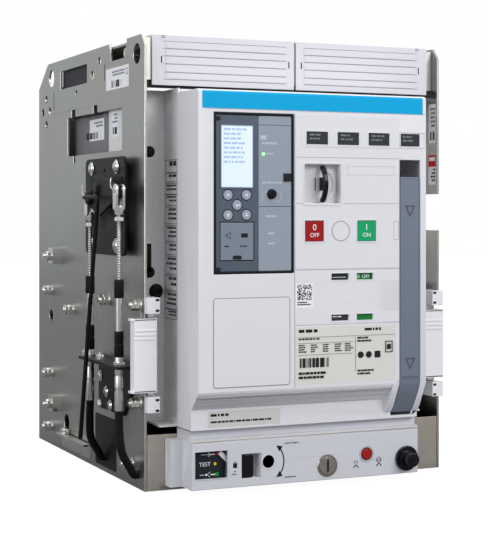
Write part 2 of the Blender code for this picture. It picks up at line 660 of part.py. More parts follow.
def rail_set(side, parent):
    """One guide, the telescopic rail in it, and the rail's pull handle."""
    tag = "right" if side > 0 else "left"
    low_block, high_block = GUIDE_LOW + GUIDE_BLOCK, GUIDE_HIGH - GUIDE_BLOCK
    web = GUIDE_OUTER - GUIDE_WEB
    profile = [(GUIDE_OUTER, GUIDE_LOW), (GUIDE_OUTER, GUIDE_HIGH), (GUIDE_INNER, GUIDE_HIGH),
               (GUIDE_INNER, high_block), (web, high_block), (web, low_block), (GUIDE_INNER, low_block),
               (GUIDE_INNER, GUIDE_LOW)]
    start, neck_back = FRONT - GUIDE_REACH, FRONT + HANDLE_NOTCH_DEPTH
    margin = GUIDE_COLLAR_MARGIN
    guide = prism("Y", [(side * x, z) for x, z in profile], neck_back - GUIDE_OVERLAP, GUIDE_BACK)
    inner = GUIDE_INNER - margin
    collar = [(inner, start), (OUTER, start), (OUTER, FRONT - FIT), (GUIDE_OUTER - margin, FRONT - FIT),
              (GUIDE_OUTER - margin, neck_back), (inner, neck_back)]
    collars = [prism("Z", [(side * x, y) for x, y in collar], low - margin, low + GUIDE_BLOCK + margin)
               for low in (GUIDE_LOW, high_block)]
    finish(join(guide, *collars), f"rail_guide_{tag}", "rail_white", parent)

    middle = (RAIL_LOW + RAIL_HIGH) / 2
    web = RAIL_OUTER - RAIL_WEB
    profile = [(RAIL_OUTER, RAIL_LOW), (RAIL_OUTER, RAIL_HIGH), (RAIL_INNER, RAIL_HIGH)]
    profile += [(RAIL_INNER, RAIL_HIGH - RAIL_RIB), (web, RAIL_HIGH - RAIL_RIB), (web, middle + RAIL_RIB / 2)]
    profile += [(RAIL_INNER, middle + RAIL_RIB / 2), (RAIL_INNER, middle - RAIL_RIB / 2)]
    profile += [(web, middle - RAIL_RIB / 2), (web, RAIL_LOW + RAIL_RIB), (RAIL_INNER, RAIL_LOW + RAIL_RIB)]
    profile += [(RAIL_INNER, RAIL_LOW)]
    rail_front = FRONT + RAIL_SETBACK
    rail = prism("Y", [(side * x, z) for x, z in profile], rail_front, rail_front + RAIL_LENGTH)
    finish(rail, f"rail_{tag}", "zinc_bright", parent, (side * RAIL_OUTER, rail_front, middle))

    x = side * (RAIL_INNER + RAIL_WIDTH / 2) + HANDLE_OFFSET
    ends = (x - HANDLE_WIDTH / 2, x + HANDLE_WIDTH / 2)
    if side > 0:
        ends = tuple(end - 2 * HANDLE_OFFSET / 3 for end in ends)
    back = rail_front - FIT
    handle = block(*ends, back - HANDLE_THICKNESS, back, RAIL_LOW + HANDLE_MARGIN, RAIL_HIGH - HANDLE_MARGIN)
    finish(handle, f"rail_handle_{tag}", "rail_white", parent, (x, back, middle))


# ---- Racking ---------------------------------------------------------------------------------------
def racking_housing(parent):
    left, right = -OUTER + HOUSING_LEFT, OUTER - HOUSING_RIGHT
    outline = [(HOUSING_BACK, HOUSING_BOTTOM), (LIP_FACE, HOUSING_BOTTOM), (LIP_FACE, HOUSING_TOP)]
    level = HOUSING_TOP
    for set_back, rise in LEDGE_STEPS:
        outline += [(LIP_FACE + set_back, level), (LIP_FACE + set_back, HOUSING_TOP + rise)]
        level = HOUSING_TOP + rise
    outline += [(HOUSING_BACK, level)]
    body = prism("X", outline, left, right)
    flange = block(left - FLANGE_WIDTH, left + FLANGE_BITE, FRONT - FLANGE_FACE, HOUSING_BACK,
                   HOUSING_BOTTOM, FLANGE_TOP)
    join(body, flange)
    pocket_front = LIP_FACE + INDICATOR_WALL
    x0, x1, z0, z1 = INDICATOR
    window_x0, window_x1, window_z0, window_z1 = INDICATOR_WINDOW
    slot_back = LIP_FACE + SLIDER_LENGTH + 2 * RUN
    past = LIP_FACE - PAST
    through = (past, HOUSING_BACK + PAST)
    slider_x0, slider_x1, slider_z0, slider_z1 = SLIDER
    plug_back = LIP_FACE + PLUG_DEPTH + PLUG_CLEARANCE
    recess_x0, recess_x1, recess_z0, recess_z1 = SLIDER_RECESS
    tools = [
        block(x0, x1, pocket_front, pocket_front + INDICATOR_DEPTH, z0, z1),
        block(window_x0, window_x1, past, pocket_front + BITE, window_z0, window_z1),
        block(recess_x0, recess_x1, past, LIP_FACE + SLIDER_RECESS_DEPTH, recess_z0, recess_z1),
        block(slider_x0 - RUN, slider_x1 + RUN, past, slot_back, slider_z0 - RUN, slider_z1 + RUN),
        rod("Y", CRANK_HOLE, CRANK_HOLE_RADIUS, *through),
        rod("Y", CRANK, CRANK_ROD_RADIUS + RUN, *through),
        rod("Y", KEY_LOCK, KEY_LOCK_RADIUS + FIT, past, plug_back),
        rod("Y", RELEASE, RELEASE_RADIUS + RUN, past, plug_back),
    ]
    finish(cut(body, *tools), "racking_housing", "housing_grey", parent)


def racking_pieces(parent):
    """The pieces that the racking housing holds: each one slides or turns along Y."""
    start = LIP_FACE + SCREW_SETBACK
    screw = rod("Y", CRANK_HOLE, SCREW_RADIUS, start, start + SCREW_LENGTH)
    finish(screw, "racking_screw", "zinc_bright", parent, (CRANK_HOLE[0], start, CRANK_HOLE[1]))

    pointer_y = LIP_FACE + INDICATOR_WALL + POINTER_SETBACK
    reach, half = POINTER_LENGTH * math.sqrt(0.5), POINTER_WIDTH / 2
    x, z = POINTER_PIVOT
    outline = [(x + half, z - half), (x + half, z + half), (x - reach + half, z + reach + half),
               (x - reach - half, z + reach - half), (x - half, z - half)]
    pointer = prism("Y", outline, pointer_y, pointer_y + POINTER_THICKNESS)
    finish(pointer, "position_pointer", "rail_white", parent, (x, pointer_y, z))

    x0, x1, z0, z1 = SLIDER
    slider = block(x0, x1, LIP_FACE + SLIDER_SETBACK, LIP_FACE + SLIDER_LENGTH, z0, z1)
    finish(slider, "racking_slider", "black_plastic", parent, ((x0 + x1) / 2, LIP_FACE, (z0 + z1) / 2))

    for name, place, radius, colour in (("key_lock_core", KEY_LOCK, KEY_LOCK_RADIUS, "zinc_bright"),
                                        ("release_button", RELEASE, RELEASE_RADIUS, "red")):
        plug = rod("Y", place, radius, LIP_FACE - PLUG_PROUD, LIP_FACE + PLUG_DEPTH)
        finish(plug, name, colour, parent, (place[0], LIP_FACE, place[1]))

    face = LIP_FACE - FIT
    collar, knob = face - CRANK_COLLAR, face - CRANK_COLLAR - CRANK_KNOB
    profile = [(knob, CRANK_KNOB_RADIUS), (collar, CRANK_KNOB_RADIUS), (collar, CRANK_COLLAR_RADIUS),
               (face, CRANK_COLLAR_RADIUS), (face, CRANK_ROD_RADIUS), (face + CRANK_LENGTH, CRANK_ROD_RADIUS)]
    finish(turned("Y", CRANK, profile), "racking_handle", "black_plastic", parent, (CRANK[0], face, CRANK[1]))


def racking_carriage(parent):
    x, z = CRANK_HOLE
    under = CARRIAGE_TOP - CARRIAGE_PLATE
    nut_left, nut_right = x - CARRIAGE_NUT_HALF, x + CARRIAGE_NUT_HALF
    outline = [(-CARRIAGE_HALF_WIDTH, CARRIAGE_TOP), (-CARRIAGE_HALF_WIDTH, under), (nut_left, under),
               (nut_left, PLATE + RUN), (nut_right, PLATE + RUN), (nut_right, under),
               (CARRIAGE_HALF_WIDTH, under), (CARRIAGE_HALF_WIDTH, CARRIAGE_TOP)]
    carriage = prism("Y", outline, CARRIAGE_FRONT, CARRIAGE_BACK, [circle(x, z, SCREW_RADIUS + RUN)])
    finish(carriage, "racking_carriage", "black_steel", parent, (x, CARRIAGE_FRONT, z))


# ---- Interlock -------------------------------------------------------------------------------------
def interlock_plate(parent):
    """A black plate on four posts, with the stud that the rocker turns on."""
    y0, y1, z0, z1 = LOCK_PLATE
    inset_y, inset_z = LOCK_PLATE_INSET
    width = LOCK_PLATE_SLOT_WIDTH
    slots = [rounded_box(y0 + behind, y0 + behind + width, z0 + foot, z0 + foot + length, 0.45 * width, 1)
             for behind, foot, length in LOCK_PLATE_SLOTS]
    back = LOCK_PLATE_X + LOCK_PLATE_THICKNESS
    plate = prism("X", rounded_box(y0, y1, z0, z1, LOCK_PLATE_CORNER), LOCK_PLATE_X, back, slots)
    posts = [rod("X", (y, z), LOCK_PLATE_POST_RADIUS, back - BITE, -OUTER - FIT, 12)
             for y in (y0 + inset_y, y1 - inset_y) for z in (z0 + inset_z, z1 - inset_z)]
    stud = rod("X", ROCKER_PIVOT, ROCKER_PIN_RADIUS, ROCKER_X - ROCKER_PIN_PROUD, back - BITE, 12)
    finish(join(plate, stud, *posts), "interlock_plate", "black_steel", parent)


def interlock_rocker(parent):
    y, z = ROCKER_PIVOT
    bore = circle(y, z, ROCKER_PIN_RADIUS + FIT, 12)
    rocker = prism("X", ROCKER, ROCKER_X, ROCKER_X + ROCKER_THICKNESS, [bore])
    finish(rocker, "interlock_rocker", "black_steel", parent, (ROCKER_X, y, z))


def cable_rod(name, y, arm_top, parent):
    """A clevis over the rocker's edge and the threaded rod below it."""
    top, bottom = arm_top + CLEVIS, arm_top + CLEVIS - CLEVIS_HEIGHT
    clevis = block(ROD_X - CLEVIS, ROD_X + CLEVIS, y - CLEVIS, y + CLEVIS, bottom, top)
    slot = block(ROD_X - CLEVIS_SLOT, ROD_X + CLEVIS_SLOT, y - 2 * CLEVIS, y + 2 * CLEVIS,
                 top - CLEVIS_SLOT_DEPTH, top + PAST)
    cut(clevis, slot)
    shank = rod("Z", (ROD_X, y), ROD_RADIUS, ROD_FOOT_Z, bottom + BITE, 12)
    finish(join(clevis, shank), name, "zinc_bright", parent, (ROD_X, y, top))


def cable(name, y, route, parent):
    """The sleeve that guides a cable rod, its two boots, the ferrule and the black cable down to its gland."""
    boot_foot, low, high = TUBE_TOP_Z - BOOT_LENGTH, *LOWER_BOOT_Z
    step = SLEEVE_STEP
    profile = [(TUBE_TOP_Z, BOOT_RADIUS), (boot_foot, BOOT_RADIUS), (boot_foot - step, TUBE_RADIUS),
               (high + step, TUBE_RADIUS), (high, BOOT_RADIUS), (low, BOOT_RADIUS),
               (low - step, FERRULE_RADIUS), (FERRULE_Z[0], FERRULE_RADIUS)]
    points = [(ROD_X, y, z) for z, _ in profile]
    radii = [radius for _, radius in profile]
    tail = smooth_between([(ROD_X, y, FERRULE_Z[0] - step)] + route, 4)
    tail.append(Vector((-OUTER - FIT, *route[-1][1:])))
    solid = tube(points + [tuple(point) for point in tail], radii + [CABLE_RADIUS] * len(tail))
    bore = rod("Z", (ROD_X, y), ROD_RADIUS + FIT, ROD_FOOT_Z - ROD_BORE_DEPTH, TUBE_TOP_Z + PAST, 12)
    finish(cut(solid, bore), name, "rubber", parent)


def push_rod(parent):
    """A round rod bent over at its top, where it enters the rocker's collar."""
    x = -OUTER - PUSH_ROD_X
    (top_y, top_z), (foot_y, foot_z) = PUSH_ROD_TOP, PUSH_ROD_FOOT
    bend = PUSH_ROD_BEND
    down = Vector((foot_y - top_y, foot_z - top_z)).normalized()
    elbow = (top_y + down[0] * bend, top_z + down[1] * bend)
    route = [(x, top_y + PUSH_ROD_ARM, top_z), (x, top_y + bend, top_z), (x, top_y + 0.3 * bend, top_z - 0.2 * bend),
             (x, *elbow), (x, foot_y, foot_z)]
    finish(tube(route, [PUSH_ROD_RADIUS] * len(route)), "push_rod", "black_steel", parent, (x, top_y, top_z))


def cable_bracket(parent):
    """A bent bracket: a web on the side plate and a flange that holds both ferrules."""
    web = prism("X", BRACKET_WEB, -OUTER - FIT - BRACKET_SHEET, -OUTER - FIT)
    y0, y1 = BRACKET_FLANGE
    outline = box_outline(-OUTER - BRACKET_REACH, -OUTER - FIT - BRACKET_SHEET / 6, y0, y1)
    holes = [circle(ROD_X, y, FERRULE_RADIUS + FIT, 12) for y in (FRONT_ROD_Y, REAR_ROD_Y)]
    flange = prism("Z", outline, BRACKET_FLANGE_Z - BRACKET_SHEET / 2, BRACKET_FLANGE_Z + BRACKET_SHEET / 2, holes)
    finish(join(web, flange), "cable_bracket", "black_steel", parent)


def interlock(parent):
    interlock_plate(parent)
    interlock_rocker(parent)
    cable_bracket(parent)
    cable_rod("cable_rod_front", FRONT_ROD_Y, ROCKER_PIVOT[1], parent)
    cable_rod("cable_rod_rear", REAR_ROD_Y, ROCKER_PIVOT[1] - REAR_ROD_DROP, parent)
    push_rod(parent)
    for name, y, (*bends, last) in (("interlock_cable_front", FRONT_ROD_Y, FRONT_CABLE),
                                    ("interlock_cable_rear", REAR_ROD_Y, REAR_CABLE)):
        route = [(ROD_X + inwards, y + back, z) for inwards, back, z in bends]
        cable(name, y, route + [(-OUTER - CABLE_END_GAP, y + last[0], last[1])], parent)


# ---- Breaker ---------------------------------------------------------------------------------------
def breaker_frame(parent):
    """A floor and two side pressings, each stepped outwards behind the front flange."""
    neck = -COVER_LEFT - FRAME_COVER_GAP
    front, sheet = COVER_BACK + FIT, FRAME_SHEET
    profile = [(neck, front), (neck, FRAME_FLANGE), (FRAME_OUTER, FRAME_FLANGE), (FRAME_OUTER, FRAME_BACK),
               (FRAME_OUTER - sheet, FRAME_BACK), (FRAME_OUTER - sheet, FRAME_FLANGE + sheet),
               (neck - sheet, FRAME_FLANGE + sheet), (neck - sheet, front)]
    left_edge = GUIDE_INNER - FRAME_RAIL_GAP_LEFT
    right_edge = GUIDE_INNER - FRAME_RAIL_GAP_RIGHT
    sides = []
    for side, edge in ((-1, left_edge), (1, right_edge)):
        pressing = prism("Z", [(side * x, y) for x, y in profile], FRAME_FLOOR, FRAME_TOP)
        rails = sorted((side * edge, side * OUTER))
        hole_y, drop, radius = SIGHT_HOLE
        ends = sorted((side * (neck - 2 * sheet), side * (neck + 2 * sheet)))
        sides.append(cut(pressing, block(*rails, FRAME_FLANGE - FRAME_RAIL_CUT, BACK, 0.0, FRAME_RAIL_Z),
                         rod("X", (FRONT + hole_y, FRAME_TOP - drop), radius, *ends)))
    floor = block(-left_edge + BITE, right_edge - BITE, front + sheet, FRAME_FLOOR_BACK, FRAME_FLOOR,
                  FRAME_FLOOR + sheet)
    strap = block(-neck + BITE, neck - BITE, FRAME_FLANGE - FRAME_STRAP, FRAME_FLANGE + BITE,
                  FRAME_TOP - sheet - BITE, FRAME_TOP - BITE)
    finish(join(sides[0], sides[1], floor, strap), "breaker_frame", "zinc_sheet", parent)


def cover_profile(inset):
    """The cover seen along X, set in by a wall: a flat face, steps back to the lip, and rounded top corner."""
    face, lip = COVER_FACE + inset, LIP_FACE + inset
    top, bottom = COVER_TOP - inset, COVER_BOTTOM + inset
    back = COVER_BACK + (PAST if inset else 0.0)
    radius = max(COVER_CORNER - inset, COVER_WALL / 5)
    points = [(back, bottom), (lip, bottom), (lip, COVER_LIP_HIGH + inset)]
    if inset:
        points += [(face, COVER_FACE_LOW + inset)]
    else:
        depth, rise = (lip - face) / COVER_STEPS, (COVER_FACE_LOW - COVER_LIP_HIGH) / COVER_STEPS
        for step in range(COVER_STEPS):
            y, z = lip - depth * step, COVER_LIP_HIGH + rise * step
            points += [(y - depth * 0.55, z + rise * 0.25), (y - depth, z + rise)]
    for step in range(4):
        angle = math.pi / 2 * step / 3
        points.append((face + radius - radius * math.cos(angle), top - radius + radius * math.sin(angle)))
    return points + [(back, top)]


def front_cover(parent):
    shell = prism("X", cover_profile(0.0), COVER_LEFT, COVER_RIGHT)
    hollow = prism("X", cover_profile(COVER_WALL), COVER_LEFT + COVER_WALL, COVER_RIGHT - COVER_WALL)
    cut(shell, hollow)
    x0, x1, z0, z1 = LOCK_RECESS
    wall, inside = LOCK_RECESS_WALL, COVER_FACE + LOCK_RECESS_DEPTH + LOCK_RECESS_WALL
    recess_box = block(x0 - wall, x1 + wall, COVER_FACE + BITE, inside, z0 - wall, z1 + wall)
    lever_x0, lever_x1, lever_z0, _ = LEVER
    slot = (lever_x0 - LEVER_SIDE, lever_x1 + LEVER_SIDE)
    slot_bottom = LEVER_PIVOT[1] - math.hypot(LEVER_PIVOT[0], LEVER_PIVOT[1] - lever_z0) - RUN
    cheek_top, cheek_back = COVER_FACE_LOW + CHEEK_TOP, LIP_FACE + CHEEK_BITE
    cheek = [(COVER_FACE, cheek_top), (COVER_FACE, COVER_FACE_LOW - PAST),
             (LIP_FACE - CHEEK_NOSE, CHEEK_FOOT + CHEEK_NOSE), (LIP_FACE - BITE, CHEEK_FOOT),
             (cheek_back, CHEEK_FOOT), (cheek_back, COVER_LIP_HIGH), (COVER_FACE + CHEEK_BITE, cheek_top)]
    cheeks = [prism("X", cheek, slot[0] - CHEEK, slot[0] + BITE),
              prism("X", cheek, slot[1] - BITE, min(slot[1] + CHEEK, COVER_RIGHT - RUN / 3))]
    join(shell, recess_box, *cheeks)
    past, behind = COVER_FACE - PAST, COVER_FACE + COVER_WALL + PAST
    stem = HASP_STEM_HALF + RUN
    hasp_middle = (HASP[2] + HASP[3]) / 2
    ux0, ux1, uz0, uz1 = UNIT
    tools = [block(x0, x1, past, COVER_FACE + LOCK_RECESS_DEPTH, z0, z1),
             block(HASP[0] - RUN, HASP[1] + RUN, past, inside + PAST, hasp_middle - stem, hasp_middle + stem),
             block(ux0, ux1, past, behind, uz0, uz1),
             block(*slot, past, LIP_FACE + COVER_WALL + LEVER_SLOT_MARGIN, slot_bottom, LEVER_POCKET_TOP)]
    tools += [block(bx0, bx1, past, behind, *BUTTON_Z) for bx0, bx1 in BUTTONS.values()]
    tools += [block(wx0, wx1, past, behind, *row) for wx0, wx1 in FLAG_WINDOWS for row in FLAG_WINDOW_ROWS]
    finish(cut(shell, *tools), "front_cover", "cover_grey", parent)


def pole_housing(parent):
    """A moulded block with one tall chamber for each pole, a bore for the shaft and slots for the stabs."""
    bottom = FRAME_FLOOR + FRAME_SHEET + FIT
    outline = [(-POLE_LOWER_HALF, bottom), (POLE_LOWER_HALF, bottom), (POLE_LOWER_HALF, POLE_STEP_Z),
               (POLE_UPPER_HALF, POLE_STEP_Z), (POLE_UPPER_HALF, POLE_TOP), (-POLE_UPPER_HALF, POLE_TOP),
               (-POLE_UPPER_HALF, POLE_STEP_Z), (-POLE_LOWER_HALF, POLE_STEP_Z)]
    body = prism("Y", outline, HOUSING_FRONT, POLE_BACK)
    tools = []
    half_width, half_height = STAB_WIDTH / 2 + FIT, STAB_THICKNESS / 2 + FIT
    for x in POLES:
        tools.append(block(x - CHAMBER_HALF, x + CHAMBER_HALF, CHAMBER_FRONT, CHAMBER_BACK, CHAMBER_FLOOR,
                           POLE_TOP + PAST))
        for z in (LOWER_TERMINAL_Z, UPPER_TERMINAL_Z):
            tools.append(block(x - half_width, x + half_width, CHAMBER_BACK - PAST, POLE_BACK + PAST,
                               z - half_height, z + half_height))
    reach = POLE_PITCH + CHAMBER_HALF - BITE
    tools.append(rod("X", (0.0, SHAFT_Z), SHAFT_RADIUS + SHAFT_CLEARANCE, -reach, reach))
    finish(combine(body, tools, "DIFFERENCE", "MANIFOLD"), "pole_housing", "pole_grey", parent)


def stabs(parent):
    back = POLE_BACK + STAB_BITE + (REAR_WALL_FRONT - POLE_BACK - JAW_DEPTH)
    for row, height, start in (("upper", UPPER_TERMINAL_Z, UPPER_STAB_FRONT), ("lower", LOWER_TERMINAL_Z,
                                                                             LOWER_STAB_FRONT)):
        for number, x in enumerate(POLES, 1):
            stab = block(x - STAB_WIDTH / 2, x + STAB_WIDTH / 2, start, back, height - STAB_THICKNESS / 2,
                         height + STAB_THICKNESS / 2)
            finish(stab, f"{row}_stab_{number}", "copper", parent)


def contact_shaft(parent):
    """The shaft that swings all three contact arms, drawn open: its arms lean away from the upper stabs."""
    shaft = rod("X", (0.0, SHAFT_Z), SHAFT_RADIUS, -POLE_PITCH - CHAMBER_HALF + SHAFT_END_GAP,
                POLE_PITCH + CHAMBER_HALF - SHAFT_END_GAP)
    along = Vector((-math.sin(ARM_OPEN_ANGLE), math.cos(ARM_OPEN_ANGLE)))
    across = Vector((along.y, -along.x)) * ARM_HALF_THICKNESS
    foot = Vector((0.0, SHAFT_Z))
    tip = foot + along * ARM_LENGTH
    outline = [tuple(foot - across), tuple(foot + across), tuple(tip + across), tuple(tip - across)]
    arms = [prism("X", outline, x - ARM_HALF_WIDTH, x + ARM_HALF_WIDTH) for x in POLES]
    finish(join(shaft, *arms), "contact_shaft", "copper", parent, (0.0, 0.0, SHAFT_Z))


def arc_chutes(parent):
    """Three arc chutes under one lid; each hangs in the top of its chamber."""
    lid = block(-POLE_UPPER_HALF + CHUTE_INSET, POLE_UPPER_HALF - CHUTE_INSET, HOUSING_FRONT + CHUTE_END_INSET,
                POLE_BACK - CHUTE_END_INSET, POLE_TOP + FIT, POLE_TOP + FIT + CHUTE_LID)
    stacks = [block(x - CHAMBER_HALF + RUN, x + CHAMBER_HALF - RUN, CHAMBER_FRONT + RUN, CHAMBER_BACK - RUN,
                    CHUTE_BOTTOM, POLE_TOP + BITE) for x in POLES]
    finish(join(lid, *stacks), "arc_chute_bank", "insulator", parent)


def operating_mechanism(parent):
    """Two cheek plates tied by spacers, with the closing spring's drum between them."""
    x0, x1, y0, y1, z0, z1 = MECHANISM
    cheeks = [block(x0, x0 + MECHANISM_CHEEK, y0, y1, z0, z1), block(x1 - MECHANISM_CHEEK, x1, y0, y1, z0, z1)]
    inside = (x0 + MECHANISM_CHEEK / 2, x1 - MECHANISM_CHEEK / 2)
    inset_y, inset_z = MECHANISM_SPACER_INSET
    corners = [(y, z) for y in (y0 + inset_y, y1 - inset_y) for z in (z0 + inset_z, z1 - inset_z)]
    bars = [rod("X", corner, MECHANISM_SPACER, *inside, 10) for corner in corners]
    drum = rod("X", ((y0 + y1) / 2, (z0 + z1) / 2), MECHANISM_DRUM, *inside, 20)
    finish(join(*cheeks, drum, *bars), "operating_mechanism", "zinc_bright", parent)


# ---- Trip unit and controls ------------------------------------------------------------------------
def trip_unit(parent):
    x0, x1, z0, z1 = UNIT
    back = UNIT_FACE + UNIT_DEPTH
    body = block(x0 + FIT, x1 - FIT, UNIT_FACE, back, z0 + FIT, z1 - FIT)
    past = UNIT_FACE - PAST
    fx0, fx1, fz0, fz1 = FLAP
    tools = [rod("Y", place, KEY_RADIUS + FIT, past, UNIT_FACE + KEY_BORE + PAST) for place in KEYS.values()]
    tools += [rod("Y", RESET, RESET_RADIUS + FIT, past, UNIT_FACE + KEY_BORE),
              block(fx0 - RUN, fx1 + RUN, past, UNIT_FACE + FLAP_THICKNESS, fz0 - RUN, fz1 + RUN)]
    finish(cut(body, *tools), "trip_unit", "unit_grey", parent)
    key_face = UNIT_FACE - KEY_PROUD
    for name, (x, z) in KEYS.items():
        key = rod("Y", (x, z), KEY_RADIUS, key_face, key_face + KEY_BORE)
        finish(key, name, "key_grey", parent, (x, key_face, z))
    knob_face = UNIT_FACE - RESET_PROUD
    knob = rod("Y", RESET, RESET_RADIUS, knob_face, UNIT_FACE + KEY_BORE - RUN)
    finish(knob, "reset_knob", "black_plastic", parent, (RESET[0], knob_face, RESET[1]))
    flap_face = UNIT_FACE - FLAP_PROUD
    flap = block(fx0, fx1, flap_face, flap_face + FLAP_THICKNESS, fz0, fz1)
    finish(flap, "trip_unit_flap", "unit_grey", parent, ((fx0 + fx1) / 2, flap_face, fz1))


def buttons(parent):
    z0, z1 = BUTTON_Z
    face = COVER_FACE - BUTTON_PROUD
    for name, (x0, x1) in BUTTONS.items():
        cap = block(x0 + FIT, x1 - FIT, face, face + BUTTON_THICKNESS, z0 + FIT, z1 - FIT)
        middle = ((x0 + x1) / 2, (z0 + z1) / 2)
        stem = rod("Y", middle, BUTTON_STEM_RADIUS, face + BUTTON_THICKNESS - PAST, face + BUTTON_THICKNESS
                   + BUTTON_STEM, 12)
        finish(join(cap, stem), name, "red" if name == "off_button" else "green", parent,
               (middle[0], face, middle[1]))


def charging_lever(parent):
    """A flat bar whose foot curves back to the lip, where it turns on its pin."""
    x0, x1, z0, z1 = LEVER
    face, thick = COVER_FACE, LEVER_THICKNESS
    front = [(face + back, COVER_FACE_LOW + rise) for back, rise in LEVER_FRONT_BEND]
    rear = [(face + thick + back, COVER_FACE_LOW + rise) for back, rise in LEVER_BACK_BEND]
    outline = [(face, z1), *front, (LIP_FACE, z0), (LIP_FACE + thick, z0), *rear, (face + thick, z1)]
    lever = prism("X", outline, x0, x1)
    pivot = ((x0 + x1) / 2, LIP_FACE + LEVER_PIVOT[0], LEVER_PIVOT[1])
    finish(lever, "charging_lever", "lever_grey", parent, pivot)


def padlock_hasp(parent):
    """The bowed black lever in the lock recess, and the stem that it is pulled out on."""
    x0, x1, z0, z1 = HASP
    floor = COVER_FACE + LOCK_RECESS_DEPTH - RUN
    middle, half = (z0 + z1) / 2, (z1 - z0) / 2
    front = COVER_FACE - HASP_REACH
    offsets = [half * step / 4 for step in range(-4, 5)]
    rise = HASP_BOW * (floor - front)
    bow = [(floor - HASP_SEAT - rise * (1 - (offset / half) ** 2) ** 0.5, middle + offset) for offset in offsets]
    lever = prism("X", bow + [(floor, z1), (floor, z0)], x0, x1)
    stem = block(x0, x1, floor - HASP_SEAT, floor + HASP_STEM, middle - HASP_STEM_HALF, middle + HASP_STEM_HALF)
    finish(join(lever, stem), "padlock_hasp", "black_plastic", parent, ((x0 + x1) / 2, floor, middle))


def contact_flag(parent):
    x0, x1, z0, z1 = FLAG
    front = COVER_FACE + COVER_WALL + RUN
    flag = block(x0, x1, front, front + FLAG_THICKNESS, z0, z1)
    finish(flag, "contact_flag", "green", parent, ((x0 + x1) / 2, front, z0))


# ---- The whole -------------------------------------------------------------------------------------
def clear_scene():
    for old in list(bpy.data.objects):
        bpy.data.objects.remove(old, do_unlink=True)


def build():
    clear_scene()
    cassette = empty("cassette")
    for side in (-1, 1):
        side_plate(side, cassette)
        rail_set(side, cassette)
    base_tray(cassette)
    rear_wall(cassette)
    terminals(cassette)
    top_channel(cassette)
    louvres(cassette)
    racking_housing(cassette)
    racking_pieces(cassette)
    interlock(cassette)
    carriage = empty("carriage", cassette)
    racking_carriage(carriage)
    breaker = empty("breaker", carriage)
    breaker_frame(breaker)
    front_cover(breaker)
    pole_housing(breaker)
    stabs(breaker)
    contact_shaft(breaker)
    arc_chutes(breaker)
    operating_mechanism(breaker)
    trip_unit(breaker)
    buttons(breaker)
    charging_lever(breaker)
    padlock_hasp(breaker)
    contact_flag(breaker)


build()
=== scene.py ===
"""The finished look of a draw-out air circuit breaker in its steel cassette.

Every place comes from the frame, in metres: +Z is up, the front faces -Y and +X is to the right seen from
the front. A shape here is an outline or a profile carried along a path, worked out as whole arrays.
"""

import json
import math
from functools import partial

import bmesh
import bpy
import numpy as np
from bpy.props import FloatProperty, FloatVectorProperty
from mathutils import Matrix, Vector
from mathutils.geometry import tessellate_polygon

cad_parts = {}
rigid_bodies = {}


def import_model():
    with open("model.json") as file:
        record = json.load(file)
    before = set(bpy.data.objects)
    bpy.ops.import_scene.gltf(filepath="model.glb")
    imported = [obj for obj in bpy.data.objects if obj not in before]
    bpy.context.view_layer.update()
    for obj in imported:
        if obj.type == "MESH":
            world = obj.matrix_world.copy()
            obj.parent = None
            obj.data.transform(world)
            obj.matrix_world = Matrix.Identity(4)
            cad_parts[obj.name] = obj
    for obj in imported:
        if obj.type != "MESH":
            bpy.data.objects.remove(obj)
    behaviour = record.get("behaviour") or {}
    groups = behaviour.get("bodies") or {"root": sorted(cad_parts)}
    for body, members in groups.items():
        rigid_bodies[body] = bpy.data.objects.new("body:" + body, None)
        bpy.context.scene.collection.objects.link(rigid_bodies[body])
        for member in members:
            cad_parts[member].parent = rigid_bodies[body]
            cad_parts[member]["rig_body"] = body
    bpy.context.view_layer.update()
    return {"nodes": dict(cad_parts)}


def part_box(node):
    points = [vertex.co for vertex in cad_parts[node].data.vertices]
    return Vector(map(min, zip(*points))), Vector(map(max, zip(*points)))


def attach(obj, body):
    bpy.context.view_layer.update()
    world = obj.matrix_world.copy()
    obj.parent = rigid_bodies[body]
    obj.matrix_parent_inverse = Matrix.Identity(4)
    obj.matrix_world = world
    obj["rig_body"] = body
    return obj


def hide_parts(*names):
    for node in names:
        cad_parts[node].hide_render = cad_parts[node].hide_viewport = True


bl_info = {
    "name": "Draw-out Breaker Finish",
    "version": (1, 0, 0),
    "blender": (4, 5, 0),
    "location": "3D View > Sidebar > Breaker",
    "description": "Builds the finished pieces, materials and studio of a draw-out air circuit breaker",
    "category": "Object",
}

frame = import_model()

EDGE = {name: np.array([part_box(name)[0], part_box(name)[1]]) for name in frame["nodes"]}
MM = 0.001
PRINT = 0.00008                  # thickness of ink and film
FACE = EDGE["front_cover"][0, 1]         # front of the cover
LIP = EDGE["racking_housing"][0, 1]      # front of the cover's lip and of the racking housing
PLATE_OUT = -EDGE["base_tray"][0, 0] + 0.0028    # outer face of a side plate, from the middle
UNIT_FACE = EDGE["trip_unit"][0, 1]
FRAME_FLANGE = -0.146            # front of the flanges of the breaker's side pressings
COVER_FOOT, COVER_LIP = 97.3, 81.5       # heights in millimetres between which the cover slopes back
LEVER_FOOT = 0.0993              # height at which the charging lever starts to sweep back
POLE_GAPS = (-47.5, 47.5)        # in millimetres, between the three poles


# ---- Outlines: arrays of points in the plane across an axis --------------------------------------
def box_outline(a0, a1, b0, b1, radius=0.0, steps=5):
    """A box, each corner a quarter circle: its centre plus the radius times cosine and sine."""
    if radius <= 0.0:
        return np.array([(a0, b0), (a1, b0), (a1, b1), (a0, b1)])
    angle = np.arange(4)[:, None] * np.pi / 2 + np.linspace(0, np.pi / 2, steps + 1)
    a = np.array([a1 - radius, a0 + radius, a0 + radius, a1 - radius])[:, None]
    b = np.array([b1 - radius, b1 - radius, b0 + radius, b0 + radius])[:, None]
    return np.stack([a + radius * np.cos(angle), b + radius * np.sin(angle)], -1).reshape(-1, 2)


